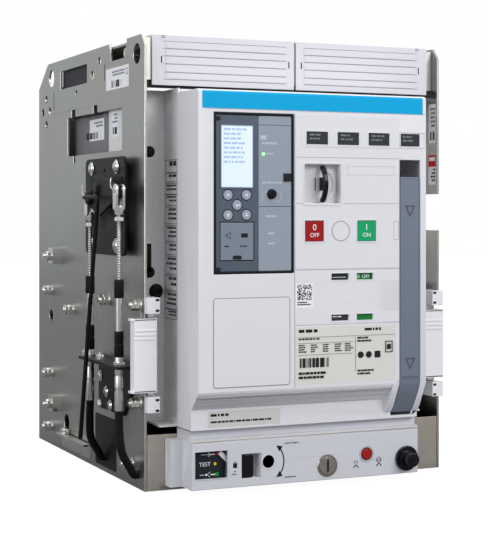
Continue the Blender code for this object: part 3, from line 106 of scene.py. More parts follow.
def disc(a, b, radius, sides=40):
    """A circle: its centre plus the radius times cosine and sine of evenly spaced angles."""
    angle = np.linspace(0, 2 * np.pi, sides, endpoint=False)
    return np.stack([a + radius * np.cos(angle), b + radius * np.sin(angle)], -1)


def arc_band(a, b, inner, outer, start, end, steps=24):
    """Part of a ring: the outer arc one way and the inner arc back, in degrees from the first axis."""
    angle = np.radians(np.linspace(start, end, steps))
    rim = np.stack([np.cos(angle), np.sin(angle)], -1)
    return np.concatenate([rim * outer, rim[::-1] * inner]) + (a, b)


def stroke(points, width):
    """A line of even width: each point is moved half the width to the left, then to the right."""
    points = np.asarray(points, float)
    along = np.gradient(points, axis=0)
    along /= np.linalg.norm(along, axis=1, keepdims=True)
    side = np.stack([-along[:, 1], along[:, 0]], -1) * width / 2
    return np.concatenate([points + side, (points - side)[::-1]])


def bars(a0, a1, b0, b1, count, seed):
    """Upright bars of uneven width between a0 and a1, drawn from a seeded generator."""
    edges = np.sort(np.random.default_rng(seed).uniform(a0, a1, 2 * count)).reshape(-1, 2)
    return [box_outline(left, right, b0, b1) for left, right in edges]


def dashes(a0, a1, b0, b1, rows, seed, fill=0.55):
    """Rows of short dashes that stand for small print, each a little longer or shorter than the last."""
    draw = np.random.default_rng(seed)
    step = (b1 - b0) / rows
    found = []
    for row in range(rows):
        b = b1 - (row + 1) * step
        ends = a0 + np.cumsum(draw.uniform(0.5, 1.6, 24)) * step * 1.1
        ends = ends[ends < a0 + (a1 - a0) * draw.uniform(0.7, 1.0)]
        starts = np.concatenate([[a0], ends[:-1] + step * 0.25])
        found += [box_outline(*pair, b + step * (1 - fill), b + step) for pair in zip(starts, ends)]
    return found


def spots(axis, flat, along):
    """Points (a, b) across an axis at a distance along it: X takes (y, z), Y (x, z) and Z (x, y)."""
    flat = np.asarray(flat, float)
    columns = {"X": (None, 0, 1), "Y": (0, None, 1), "Z": (0, 1, None)}[axis]
    filled = np.broadcast_to(np.asarray(along, float), (len(flat),))
    return np.stack([filled if column is None else flat[:, column] for column in columns], -1)


# ---- Shapes: (points, faces) pairs ---------------------------------------------------------------
def ring_faces(start, size, step):
    """Quads between a closed ring of points and the ring that starts step further on."""
    this = np.arange(size)
    following = np.roll(this, -1)
    return (np.stack([this, following, following + step, this + step], -1) + start).tolist()


def inset(loop, distance):
    """A loop moved in: each corner goes along the sum of its sides' normals over 1 + their cosine."""
    along = np.roll(loop, -1, 0) - loop
    along /= np.linalg.norm(along, axis=1, keepdims=True)
    area = np.sum(loop[:, 0] * np.roll(loop[:, 1], -1) - np.roll(loop[:, 0], -1) * loop[:, 1])
    after = np.stack([-along[:, 1], along[:, 0]], -1) * np.sign(area)
    before = np.roll(after, 1, 0)
    return loop + distance * (after + before) / (1 + np.sum(after * before, 1, keepdims=True)).clip(0.3)


def carried(axis, outline, low, high, holes=(), ease=0.0):
    """An outline with holes, carried straight along an axis, with both ends closed. Where it is eased, each
    end is set in by that much and its rims are chamfered."""
    loops = [np.asarray(outline, float), *[np.asarray(hole, float) for hole in holes]]
    flat = np.concatenate(loops)
    count = len(flat)
    levels = [(flat, low), (flat, high)]
    if ease > 0.0:
        step = ease if high > low else -ease
        small = np.concatenate([inset(loops[0], ease), *[inset(loop, -ease) for loop in loops[1:]]])
        levels = [(small, low), (flat, low + step), (flat, high - step), (small, high)]
    points = np.concatenate([spots(axis, *level) for level in levels])
    last = count * (len(levels) - 1)
    if holes:
        lifted = [[Vector((a, b, 0.0)) for a, b in loop] for loop in loops]
        caps = [tuple(cap) for cap in tessellate_polygon(lifted)]
    else:
        caps = [tuple(range(count))]
    faces = caps + [tuple(i + last for i in reversed(cap)) for cap in caps]
    starts = np.cumsum([0] + [len(loop) for loop in loops[:-1]])
    for start, loop in zip(starts, loops):
        for row in range(len(levels) - 1):
            faces += ring_faces(start + row * count, len(loop), count)
    return points, faces


def block(x0, x1, y0, y1, z0, z1):
    return carried("Z", box_outline(x0, x1, y0, y1), z0, z1)


def rings(points, rows, sides):
    """The faces of a stack of rings, with a flat face at each end."""
    faces = [tuple(range(sides))]
    for row in range(rows - 1):
        faces += ring_faces(row * sides, sides, sides)
    faces.append(tuple(range((rows - 1) * sides, rows * sides))[::-1])
    return points.reshape(-1, 3), faces


def turned(axis, centre, profile, sides=32):
    """A profile carried round an axis: rows of (distance along, radius), and a third value of 1 where the
    section is a hexagon, whose radius grows as one over the cosine of the angle from the nearest flat."""
    rows = np.array([(*row, 0.0)[:3] for row in profile])
    angle = np.linspace(0, 2 * np.pi, sides, endpoint=False)
    flat = 1 / np.cos((angle + np.pi / 6) % (np.pi / 3) - np.pi / 6)
    radius = rows[:, 1:2] * np.where(rows[:, 2:3] > 0, flat, 1.0)
    a, b = centre[0] + radius * np.cos(angle), centre[1] + radius * np.sin(angle)
    flat_points = np.stack([a, b], -1).reshape(-1, 2)
    return rings(spots(axis, flat_points, np.repeat(rows[:, 0], sides)), len(rows), sides)


def threaded(axis, centre, low, high, radius, pitch, sides=20):
    """A screw thread: the radius falls by the depth of a triangle wave of (distance / pitch - turn)."""
    rows = max(int(abs(high - low) / pitch * 5), 4)
    along = np.linspace(low, high, rows)[:, None]
    angle = np.linspace(0, 2 * np.pi, sides, endpoint=False)
    wave = np.abs((along / pitch - angle / (2 * np.pi)) % 1.0 - 0.5) * 2
    reach = radius - pitch * 0.4 * wave
    a, b = centre[0] + reach * np.cos(angle), centre[1] + reach * np.sin(angle)
    places = np.broadcast_to(along, reach.shape).reshape(-1)
    return rings(spots(axis, np.stack([a, b], -1).reshape(-1, 2), places), rows, sides)


def routed(route, radii, across, sides=18):
    """A round solid along a route: each ring lies square to the route, turned from the vector given."""
    route = np.asarray(route, float)
    radii = np.broadcast_to(np.asarray(radii, float), (len(route),))
    along = np.gradient(route, axis=0)
    along /= np.linalg.norm(along, axis=1, keepdims=True)
    first = np.cross(along, across)
    first /= np.linalg.norm(first, axis=1, keepdims=True)
    second = np.cross(along, first)
    angle = np.linspace(0, 2 * np.pi, sides, endpoint=False)[None, :, None]
    ring = first[:, None] * np.cos(angle) + second[:, None] * np.sin(angle)
    return rings(route[:, None] + ring * radii[:, None, None], len(route), sides)


def spline(points, steps=8):
    """A Catmull-Rom curve: each stretch is the cubic through its ends with its neighbours' chord as slope."""
    points = np.asarray(points, float)
    ends = np.concatenate([points[:1], points, points[-1:]])
    before, start, end, after = ends[:-3, None], ends[1:-2, None], ends[2:-1, None], ends[3:, None]
    t = np.linspace(0, 1, steps, endpoint=False)[None, :, None]
    curve = 0.5 * (2 * start + (end - before) * t + (2 * before - 5 * start + 4 * end - after) * t ** 2
        + (3 * start - before - 3 * end + after) * t ** 3)
    return np.concatenate([curve.reshape(-1, points.shape[1]), points[-1:]])


def rims_of(node, axis, level):
    """The rims of a node's flat face at a level on an axis, longest first. A circle's rim is made round."""
    mesh = frame["nodes"][node].data
    mesh.calc_loop_triangles()
    points = np.empty(len(mesh.vertices) * 3, np.float32)
    mesh.vertices.foreach_get("co", points)
    points = points.reshape(-1, 3)
    corners = np.empty(len(mesh.loop_triangles) * 3, np.int32)
    mesh.loop_triangles.foreach_get("vertices", corners)
    column = "XYZ".index(axis)
    _, first, merged = np.unique(np.round(points, 5), axis=0, return_index=True, return_inverse=True)
    triangles = merged.reshape(-1)[corners].reshape(-1, 3)
    points = points[first]
    triangles = triangles[(np.abs(points[triangles, column] - level) < 2e-5).all(axis=1)]
    ends = np.concatenate([triangles[:, [0, 1]], triangles[:, [1, 2]], triangles[:, [2, 0]]])
    both = set(map(tuple, ends.tolist()))
    following = {a: b for a, b in both if (b, a) not in both}
    flat = np.delete(points, column, axis=1)
    loops = []
    while following:
        start, this = following.popitem()
        loop = [start]
        while this != start:
            loop.append(this)
            this = following.pop(this)
        rim = flat[loop].astype(float)
        middle = (rim.min(0) + rim.max(0)) / 2
        reach = np.linalg.norm(rim - middle, axis=1)
        round_rim = len(rim) >= 8 and np.ptp(reach) < 0.02 * reach.mean()
        loops.append(disc(*middle, reach.mean(), 48) if round_rim else rim)
    return sorted(loops, key=lambda loop: -np.ptp(loop, axis=0).sum())


# ---- Pieces --------------------------------------------------------------------------------------
def finish_piece(piece, body, replaces, bevel, segments, smooth):
    """Rounds a piece's edges, shades it, and puts it on its body in place of the nodes it stands for."""
    if bevel > 0.0:
        modifier = piece.modifiers.new("Eased edges", "BEVEL")
        modifier.width = bevel
        modifier.segments = segments
        modifier.limit_method = "ANGLE"
        modifier.angle_limit = math.radians(36)
        modifier.use_clamp_overlap = False
        modifier.harden_normals = True
    piece.data.shade_smooth()
    piece.data.set_sharp_from_angle(angle=math.radians(smooth))
    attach(piece, body)
    if replaces:
        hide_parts(*replaces)
    return piece


def make(name, parts, body, replaces=(), bevel=0.0, segments=2, smooth=36.0):
    """One piece from a list of (shape, paint) pairs, with its faces turned outwards."""
    points, faces, paints = [], [], []
    count = 0
    names = list(dict.fromkeys(colour for _, colour in parts))
    for (shape_points, shape_faces), colour in parts:
        points.append(np.asarray(shape_points, float))
        faces += [tuple(corner + count for corner in face) for face in shape_faces]
        paints += [names.index(colour)] * len(shape_faces)
        count += len(shape_points)
    mesh = bpy.data.meshes.new(name)
    mesh.from_pydata(np.concatenate(points), [], faces)
    for colour in names:
        mesh.materials.append(paint(colour))
    mesh.polygons.foreach_set("material_index", paints)
    work = bmesh.new()
    work.from_mesh(mesh)
    bmesh.ops.recalc_face_normals(work, faces=work.faces)
    work.to_mesh(mesh)
    work.free()
    piece = bpy.data.objects.new(name, mesh)
    bpy.context.scene.collection.objects.link(piece)
    return finish_piece(piece, body, replaces, bevel, segments, smooth)


def eased(node, colour, bevel=0.0005, segments=2, smooth=36.0, whole=True):
    """A merged copy of a node with edges rounded, which stands for the node. Its flat faces are made whole
    unless they hold windows, which a whole face would cover."""
    source = frame["nodes"][node]
    work = bmesh.new()
    work.from_mesh(source.data)
    bmesh.ops.remove_doubles(work, verts=work.verts, dist=1e-5)
    if whole:
        bmesh.ops.dissolve_limit(work, angle_limit=math.radians(0.5), verts=work.verts, edges=work.edges)
    mesh = bpy.data.meshes.new(node + "_piece")
    work.to_mesh(mesh)
    work.free()
    mesh.materials.clear()
    mesh.materials.append(paint(colour))
    piece = bpy.data.objects.new(mesh.name, mesh)
    bpy.context.scene.collection.objects.link(piece)
    return finish_piece(piece, source["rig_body"], (node,), bevel, segments, smooth)


def printed(name, axis, level, outward, marks, body):
    """Ink, film or painted shade on a flat face: every (outlines, paint) pair is carried a print's thickness
    outwards.
    """
    parts = []
    for order, (outlines, colour) in enumerate(marks):
        top = level + outward * PRINT * (order + 1)
        parts += [(carried(axis, outline, level - outward * PRINT, top), colour) for outline in outlines]
    return make(name, parts, body)


def lettering(name, word, place, height, axis, outward, colour, body, depth=PRINT):
    """A word as a solid, its capitals the given height, centred on a place and read from outside."""
    curve = bpy.data.curves.new(name, "FONT")
    curve.body = word
    curve.align_x = "CENTER"
    curve.align_y = "CENTER"
    curve.size = height / 0.73
    curve.extrude = depth / 2
    curve.resolution_u = 3
    guide = bpy.data.objects.new(name, curve)
    bpy.context.scene.collection.objects.link(guide)
    graph = bpy.context.evaluated_depsgraph_get()
    mesh = bpy.data.meshes.new_from_object(guide.evaluated_get(graph))
    bpy.data.objects.remove(guide)
    points = np.empty(len(mesh.vertices) * 3, np.float32)
    mesh.vertices.foreach_get("co", points)
    points = points.reshape(-1, 3)
    middle = (points.min(0) + points.max(0)) / 2
    points -= middle
    across, up, out = points.T
    if axis == "Y":
        placed = np.stack([place[0] - outward * across, place[1] + outward * out, place[2] + up], -1)
    else:
        placed = np.stack([place[0] + outward * out, place[1] + outward * across, place[2] + up], -1)
    mesh.vertices.foreach_set("co", placed.astype(np.float32).ravel())
    mesh.materials.clear()
    mesh.materials.append(paint(colour))
    work = bmesh.new()
    work.from_mesh(mesh)
    bmesh.ops.remove_doubles(work, verts=work.verts, dist=1e-7)
    bmesh.ops.recalc_face_normals(work, faces=work.faces)
    work.to_mesh(mesh)
    work.free()
    mesh.name = name
    piece = bpy.data.objects.new(name, mesh)
    bpy.context.scene.collection.objects.link(piece)
    return finish_piece(piece, body, (), 0.0, 1, 36.0)


# ---- Fasteners -----------------------------------------------------------------------------------
def hexagon(axis, centre, foot, outward, flats, height):
    """A hexagon head or nut: a hexagon whose outer corners are turned down to a circle inside its flats."""
    reach = flats / 2
    return turned(axis, centre, [(foot, reach * 0.93), (foot + outward * height * 0.08, reach, 1),
            (foot + outward * height * 0.82, reach, 1), (foot + outward * height, reach * 0.90)], 36)


def washer(axis, centre, foot, outward, radius, height):
    return turned(axis, centre, [(foot, radius * 0.97), (foot + outward * height * 0.3, radius),
            (foot + outward * height * 0.8, radius), (foot + outward * height, radius * 0.96)])


def nut_stack(axis, centre, foot, outward, size, reach):
    """Washer, spring washer and nut on a stud of the given size, with thread showing to the given reach."""
    nut = foot + outward * size * 0.36
    return [washer(axis, centre, foot, outward, size * 1.05, size * 0.18),
            washer(axis, centre, foot + outward * size * 0.18, outward, size * 0.85, size * 0.18),
            hexagon(axis, centre, nut, outward, size * 1.62, size * 0.8),
            threaded(axis, centre, nut, foot + outward * reach, size * 0.5, size * 0.16)]


def socket_screw(axis, centre, foot, outward, radius, height, socket=0.5):
    """A round head with a domed edge and a blind hexagon socket turned into its top."""
    top = foot + outward * height
    return turned(axis, centre, [(foot, radius), (foot + outward * height * 0.7, radius),
            (top, radius * 0.86), (top, radius * socket, 1), (foot + outward * height * 0.4, radius * socket,
                1)], 36)


def pan_screw(axis, centre, foot, outward, radius):
    """A low domed head: its height follows a quarter ellipse."""
    angle = np.linspace(0, 0.46 * np.pi, 6)
    rows = [(foot, radius)] + [(foot + outward * radius * 0.5 * math.sin(a), radius * math.cos(a))
        for a in angle[1:]]
    return turned(axis, centre, rows, 28)


def cross_slot(axis, centre, foot, outward, radius):
    """The dark cross of a driver recess, as two thin bars of painted shade on a screw's head."""
    a, b = centre
    width = radius * 0.16
    return [carried(axis, outline, foot, foot + outward * PRINT) for outline in
            (box_outline(a - radius * 0.6, a + radius * 0.6, b - width, b + width),
             box_outline(a - width, a + width, b - radius * 0.6, b + radius * 0.6))]


# ---- Shader node groups --------------------------------------------------------------------------
def add(tree, kind, sockets=None, **settings):
    """A node with its settings, whose sockets get a value, or a link where an output is given."""
    node = tree.nodes.new(kind)
    for key, value in settings.items():
        setattr(node, key, value)
    for key, value in (sockets or {}).items():
        if isinstance(value, bpy.types.NodeSocket):
            tree.links.new(value, node.inputs[key])
        else:
            node.inputs[key].default_value = value
    return node


def new_group(name, inputs, outputs):
    """A shader node group with named sockets: its tree, its input node and its output node."""
    tree = bpy.data.node_groups.new(name, "ShaderNodeTree")
    for label, kind, default in inputs:
        socket = tree.interface.new_socket(label, in_out="INPUT", socket_type="NodeSocket" + kind)
        if default is not None:
            socket.default_value = default
    for label, kind in outputs:
        tree.interface.new_socket(label, in_out="OUTPUT", socket_type="NodeSocket" + kind)
    return tree, tree.nodes.new("NodeGroupInput"), tree.nodes.new("NodeGroupOutput")


def maths(tree, operation, first, second=0.0, clamp=False):
    return add(tree, "ShaderNodeMath", {0: first, 1: second}, operation=operation, use_clamp=clamp).outputs[0]


def spread(tree, value, low, high, to_low=0.0, to_high=1.0):
    """The value mapped from one range to another, and held inside it."""
    return add(tree, "ShaderNodeMapRange", {"Value": value, "From Min": low, "From Max": high,
            "To Min": to_low, "To Max": to_high}).outputs[0]


def tinted(tree, factor, first, second, blend="MIX"):
    mixed = add(tree, "ShaderNodeMix", {0: factor, 6: first, 7: second}, data_type="RGBA", blend_type=blend)
    return mixed.outputs[2]


def moulding_group():
    """Spark-eroded grain with slow mottling: fine noise for height, coarse noise for tone."""
    tree, taken, given = new_group("Moulding grain", [("Vector", "Vector", None), ("Scale", "Float", 1800.0),
            ("Mottle", "Float", 0.04)], [("Height", "Float"), ("Tone", "Float")])
    place = taken.outputs["Vector"]
    fine = add(tree, "ShaderNodeTexNoise", {"Vector": place, "Scale": taken.outputs["Scale"], "Detail": 3.0,
            "Roughness": 0.6})
    coarse = add(tree, "ShaderNodeTexNoise", {"Vector": place, "Scale": 14.0, "Detail": 4.0})
    lean = maths(tree, "SUBTRACT", coarse.outputs[0], 0.5)
    tone = maths(tree, "ADD", maths(tree, "MULTIPLY", lean, taken.outputs["Mottle"]), 1.0)
    tree.links.new(fine.outputs[0], given.inputs["Height"])
    tree.links.new(tone, given.inputs["Tone"])
    return tree


def rolled_group():
    """Rolled and plated sheet: streaks along the rolling direction under a patchy bloom."""
    tree, taken, given = new_group("Rolled sheet", [("Vector", "Vector", None),
            ("Stretch", "Vector", (1, 1, 1)), ("Streaks", "Float", 0.5), ("Bloom", "Float", 0.5)],
        [("Height", "Float"), ("Tone", "Float"), ("Warmth", "Float")])
    place = taken.outputs["Vector"]
    scaled = add(tree, "ShaderNodeVectorMath", {0: place, 1: taken.outputs["Stretch"]}, operation="MULTIPLY")
    streak = add(tree, "ShaderNodeTexNoise", {"Vector": scaled.outputs[0], "Scale": 1.0, "Detail": 5.0,
            "Roughness": 0.65})
    bloom = add(tree, "ShaderNodeTexNoise", {"Vector": place, "Scale": 9.0, "Detail": 5.0, "Roughness": 0.55})
    spangle = add(tree, "ShaderNodeTexVoronoi", {"Vector": place, "Scale": 160.0, "Randomness": 1.0})
    cells = maths(tree, "MULTIPLY", maths(tree, "SUBTRACT", spangle.outputs["Distance"], 0.4), 0.10)
    lean = maths(tree, "MULTIPLY", maths(tree, "SUBTRACT", streak.outputs[0], 0.5), taken.outputs["Streaks"])
    cloud = maths(tree, "MULTIPLY", maths(tree, "SUBTRACT", bloom.outputs[0], 0.5), taken.outputs["Bloom"])
    total = maths(tree, "ADD", maths(tree, "ADD", lean, cloud), cells)
    tree.links.new(maths(tree, "ADD", total, 1.0), given.inputs["Tone"])
    tree.links.new(streak.outputs[0], given.inputs["Height"])
    tree.links.new(spread(tree, bloom.outputs[0], 0.35, 0.7), given.inputs["Warmth"])
    return tree


def wear_group():
    """Worn edges: where a rounded normal leans away from the true one, broken up by noise."""
    tree, taken, given = new_group("Edge wear", [("Vector", "Vector", None), ("Radius", "Float", 0.0006),
            ("Amount", "Float", 0.5)], [("Mask", "Float")])
    rounded = add(tree, "ShaderNodeBevel", {"Radius": taken.outputs["Radius"]}, samples=4)
    true = add(tree, "ShaderNodeNewGeometry")
    lean = add(tree, "ShaderNodeVectorMath", {0: rounded.outputs[0], 1: true.outputs["Normal"]},
        operation="DOT_PRODUCT")
    edge = spread(tree, lean.outputs["Value"], 0.995, 0.90)
    chips = add(tree, "ShaderNodeTexNoise", {"Vector": taken.outputs["Vector"], "Scale": 260.0, "Detail": 4.0,
            "Roughness": 0.7})
    broken = spread(tree, chips.outputs[0], 0.42, 0.62)
    mask = maths(tree, "MULTIPLY", maths(tree, "MULTIPLY", edge, broken), taken.outputs["Amount"], clamp=True)
    tree.links.new(mask, given.inputs["Mask"])
    return tree


def dust_group():
    """Settled dust: thickest where the surface faces up, in soft clouds."""
    tree, taken, given = new_group("Dust", [("Vector", "Vector", None), ("Amount", "Float", 0.3)],
        [("Mask", "Float")])
    facing = add(tree, "ShaderNodeNewGeometry")
    parts = add(tree, "ShaderNodeSeparateXYZ", {0: facing.outputs["Normal"]})
    upward = spread(tree, parts.outputs["Z"], 0.2, 1.0)
    cloud = add(tree, "ShaderNodeTexNoise", {"Vector": taken.outputs["Vector"], "Scale": 30.0, "Detail": 6.0,
            "Roughness": 0.65})
    mask = maths(tree, "MULTIPLY", maths(tree, "MULTIPLY", upward,
            spread(tree, cloud.outputs[0], 0.35, 0.75)), taken.outputs["Amount"], clamp=True)
    tree.links.new(mask, given.inputs["Mask"])
    return tree


def scuff_group():
    """Fine handling marks: thin ridges of a stretched noise, kept only in a few patches."""
    tree, taken, given = new_group("Scuffs", [("Vector", "Vector", None), ("Amount", "Float", 0.3)],
        [("Mask", "Float")])
    turned_place = add(tree, "ShaderNodeMapping", {"Vector": taken.outputs["Vector"],
            "Rotation": (0.3, 0.7, 0.4), "Scale": (18.0, 240.0, 420.0)})
    lines = add(tree, "ShaderNodeTexNoise", {"Vector": turned_place.outputs[0], "Scale": 1.0, "Detail": 2.0})
    patches = add(tree, "ShaderNodeTexNoise", {"Vector": taken.outputs["Vector"], "Scale": 22.0,
            "Detail": 2.0})
    thin = spread(tree, maths(tree, "ABSOLUTE", maths(tree, "SUBTRACT", lines.outputs[0], 0.5)), 0.012, 0.0)
    kept = spread(tree, patches.outputs[0], 0.52, 0.62)
    mask = maths(tree, "MULTIPLY", maths(tree, "MULTIPLY", thin, kept), taken.outputs["Amount"], clamp=True)
    tree.links.new(mask, given.inputs["Mask"])
    return tree


GROUP_MAKERS = {"Moulding grain": moulding_group, "Rolled sheet": rolled_group, "Edge wear": wear_group,
    "Dust": dust_group, "Scuffs": scuff_group}


def grouped(tree, name, sockets):
    """The named group placed in a material with its own values; the group itself is built on first use."""
    node = tree.nodes.new("ShaderNodeGroup")
    node.node_tree = bpy.data.node_groups.get(name) or GROUP_MAKERS[name]()
    for key, value in sockets.items():
        if isinstance(value, bpy.types.NodeSocket):
            tree.links.new(value, node.inputs[key])
        else:
            node.inputs[key].default_value = value
    return node


# ---- Materials -----------------------------------------------------------------------------------
def linear(shade):
    """Scene-linear colour with alpha, from display values out of 255, by the sRGB curve."""
    shade = np.asarray(shade, float) / 255
    curve = np.where(shade <= 0.04045, shade / 12.92, ((shade + 0.055) / 1.055) ** 2.4)
    return (*curve.tolist(), 1.0)


def begin(name, **constants):
    """A material with only its Principled shader, the constants set on the shader's own sockets."""
    material = bpy.data.materials.new(name)
    material.use_nodes = True
    tree = material.node_tree
    shader = tree.nodes["Principled BSDF"]
    for label, value in constants.items():
        shader.inputs[label.replace("_", " ")].default_value = value
    place = add(tree, "ShaderNodeTexCoord").outputs["Object"]
    return material, tree, shader, place


def scaled_colour(tree, colour, tone):
    """The colour times a tone, as a multiply mix with a grey of that tone."""
    grey = add(tree, "ShaderNodeCombineColor", {0: tone, 1: tone, 2: tone})
    return tinted(tree, 1.0, colour, grey.outputs[0], "MULTIPLY")


DUST_SHADE = (150, 146, 138)     # settled on mouldings
DARK_SHINE, STRONG_SHINE, PALE_SHINE = 0.12, 0.25, 0.45     # specular level of black, strong and pale plastic


def moulded(shade, roughness, grain=1800.0, depth=0.00003, mottle=0.05, worn=None, wear=0.35, dust=0.25,
        scuffs=0.3, coat=0.0, *, name):
    """Moulded plastic: grain in the surface, paler worn edges, handling marks and a little settled dust."""
    shade = chosen(shade)
    shine = DARK_SHINE if max(shade) < 60 else STRONG_SHINE if max(shade) - min(shade) > 90 else PALE_SHINE
    material, tree, shader, place = begin(name, Coat_Weight=coat, Specular_IOR_Level=shine)
    surface = grouped(tree, "Moulding grain", {"Vector": place, "Scale": grain, "Mottle": mottle})
    edges = grouped(tree, "Edge wear", {"Vector": place, "Amount": wear}).outputs[0]
    marks = grouped(tree, "Scuffs", {"Vector": place, "Amount": scuffs}).outputs[0]
    settled = grouped(tree, "Dust", {"Vector": place, "Amount": dust}).outputs[0]
    base = scaled_colour(tree, linear(shade), surface.outputs["Tone"])
    lighter = linear(worn or [min(value * 1.10 + 10, 250) for value in shade])
    base = tinted(tree, maths(tree, "MAXIMUM", edges, marks), base, lighter)
    base = tinted(tree, settled, base, linear(DUST_SHADE))
    tree.links.new(base, shader.inputs["Base Color"])
    rough = maths(tree, "MULTIPLY", surface.outputs["Tone"], roughness)
    rough = maths(tree, "ADD", rough, maths(tree, "MULTIPLY", settled, 0.3), clamp=True)
    tree.links.new(maths(tree, "ADD", rough, maths(tree, "MULTIPLY", marks, 0.15)),
        shader.inputs["Roughness"])
    bump = add(tree, "ShaderNodeBump", {"Height": surface.outputs["Height"], "Distance": depth,
            "Strength": 0.6})
    tree.links.new(bump.outputs[0], shader.inputs["Normal"])
    return material


def rolled(shade, warm, roughness, stretch=(30, 30, 900), streaks=0.18, bloom=0.35, metallic=1.0, dust=0.2,
        scuffs=0.6, depth=0.00002, *, name):
    """Plated sheet or bar: rolling streaks, a bloom that turns warm in places, scratches and bright edges."""
    material, tree, shader, place = begin(name, Metallic=metallic, Specular_IOR_Level=0.5)
    surface = grouped(tree, "Rolled sheet", {"Vector": place, "Stretch": stretch, "Streaks": streaks,
            "Bloom": bloom})
    edges = grouped(tree, "Edge wear", {"Vector": place, "Amount": 0.7, "Radius": 0.0005}).outputs[0]
    marks = grouped(tree, "Scuffs", {"Vector": place, "Amount": scuffs}).outputs[0]
    settled = grouped(tree, "Dust", {"Vector": place, "Amount": dust}).outputs[0]
    base = tinted(tree, surface.outputs["Warmth"], linear(chosen(shade)), linear(warm))
    base = scaled_colour(tree, base, surface.outputs["Tone"])
    base = tinted(tree, maths(tree, "MAXIMUM", edges, marks), base, linear((222, 220, 214)))
    base = tinted(tree, settled, base, linear((140, 136, 128)))
    tree.links.new(base, shader.inputs["Base Color"])
    rough = maths(tree, "MULTIPLY", surface.outputs["Tone"], roughness)
    rough = maths(tree, "ADD", rough, maths(tree, "MULTIPLY", settled, 0.35))
    tree.links.new(maths(tree, "ADD", rough, maths(tree, "MULTIPLY", marks, -0.1), clamp=True),
        shader.inputs["Roughness"])
    bump = add(tree, "ShaderNodeBump", {"Height": surface.outputs["Height"], "Distance": depth,
            "Strength": 0.5})
    tree.links.new(bump.outputs[0], shader.inputs["Normal"])
    return material


def coated(shade, roughness, orange_peel=420.0, wear=0.8, dust=0.3, *, name):
    """Powder-coated steel: orange peel in the coat, bare bright metal where an edge has worn through."""
    material, tree, shader, place = begin(name, Coat_Roughness=0.3, Specular_IOR_Level=0.15)
    surface = grouped(tree, "Moulding grain", {"Vector": place, "Scale": orange_peel, "Mottle": 0.15})
    edges = grouped(tree, "Edge wear", {"Vector": place, "Amount": wear, "Radius": 0.0005}).outputs[0]
    marks = grouped(tree, "Scuffs", {"Vector": place, "Amount": 0.25}).outputs[0]
    settled = grouped(tree, "Dust", {"Vector": place, "Amount": dust}).outputs[0]
    base = scaled_colour(tree, linear(shade), surface.outputs["Tone"])
    base = tinted(tree, marks, base, linear((120, 120, 120)))
    base = tinted(tree, edges, base, linear((150, 150, 148)))
    base = tinted(tree, settled, base, linear((130, 127, 120)))
    tree.links.new(base, shader.inputs["Base Color"])
    tree.links.new(edges, shader.inputs["Metallic"])
    rough = maths(tree, "MULTIPLY", surface.outputs["Tone"], roughness)
    tree.links.new(maths(tree, "ADD", rough, maths(tree, "MULTIPLY", settled, 0.3), clamp=True),
        shader.inputs["Roughness"])
    bump = add(tree, "ShaderNodeBump", {"Height": surface.outputs["Height"], "Distance": 0.00008,
            "Strength": 0.5})
    tree.links.new(bump.outputs[0], shader.inputs["Normal"])
    return material


def inked(shade, roughness=0.45, glow=0.0, *, name):
    """Ink, film, painted shade or a lit lens: a thin coat with faint unevenness."""
    material, tree, shader, place = begin(name, Emission_Strength=glow, Specular_IOR_Level=0.12)
    surface = grouped(tree, "Moulding grain", {"Vector": place, "Scale": 2600.0, "Mottle": 0.08})
    base = scaled_colour(tree, linear(chosen(shade)), surface.outputs["Tone"])
    tree.links.new(base, shader.inputs["Base Color"])
    if glow > 0.0:
        tree.links.new(base, shader.inputs["Emission Color"])
    tree.links.new(maths(tree, "MULTIPLY", surface.outputs["Tone"], roughness), shader.inputs["Roughness"])
    return material


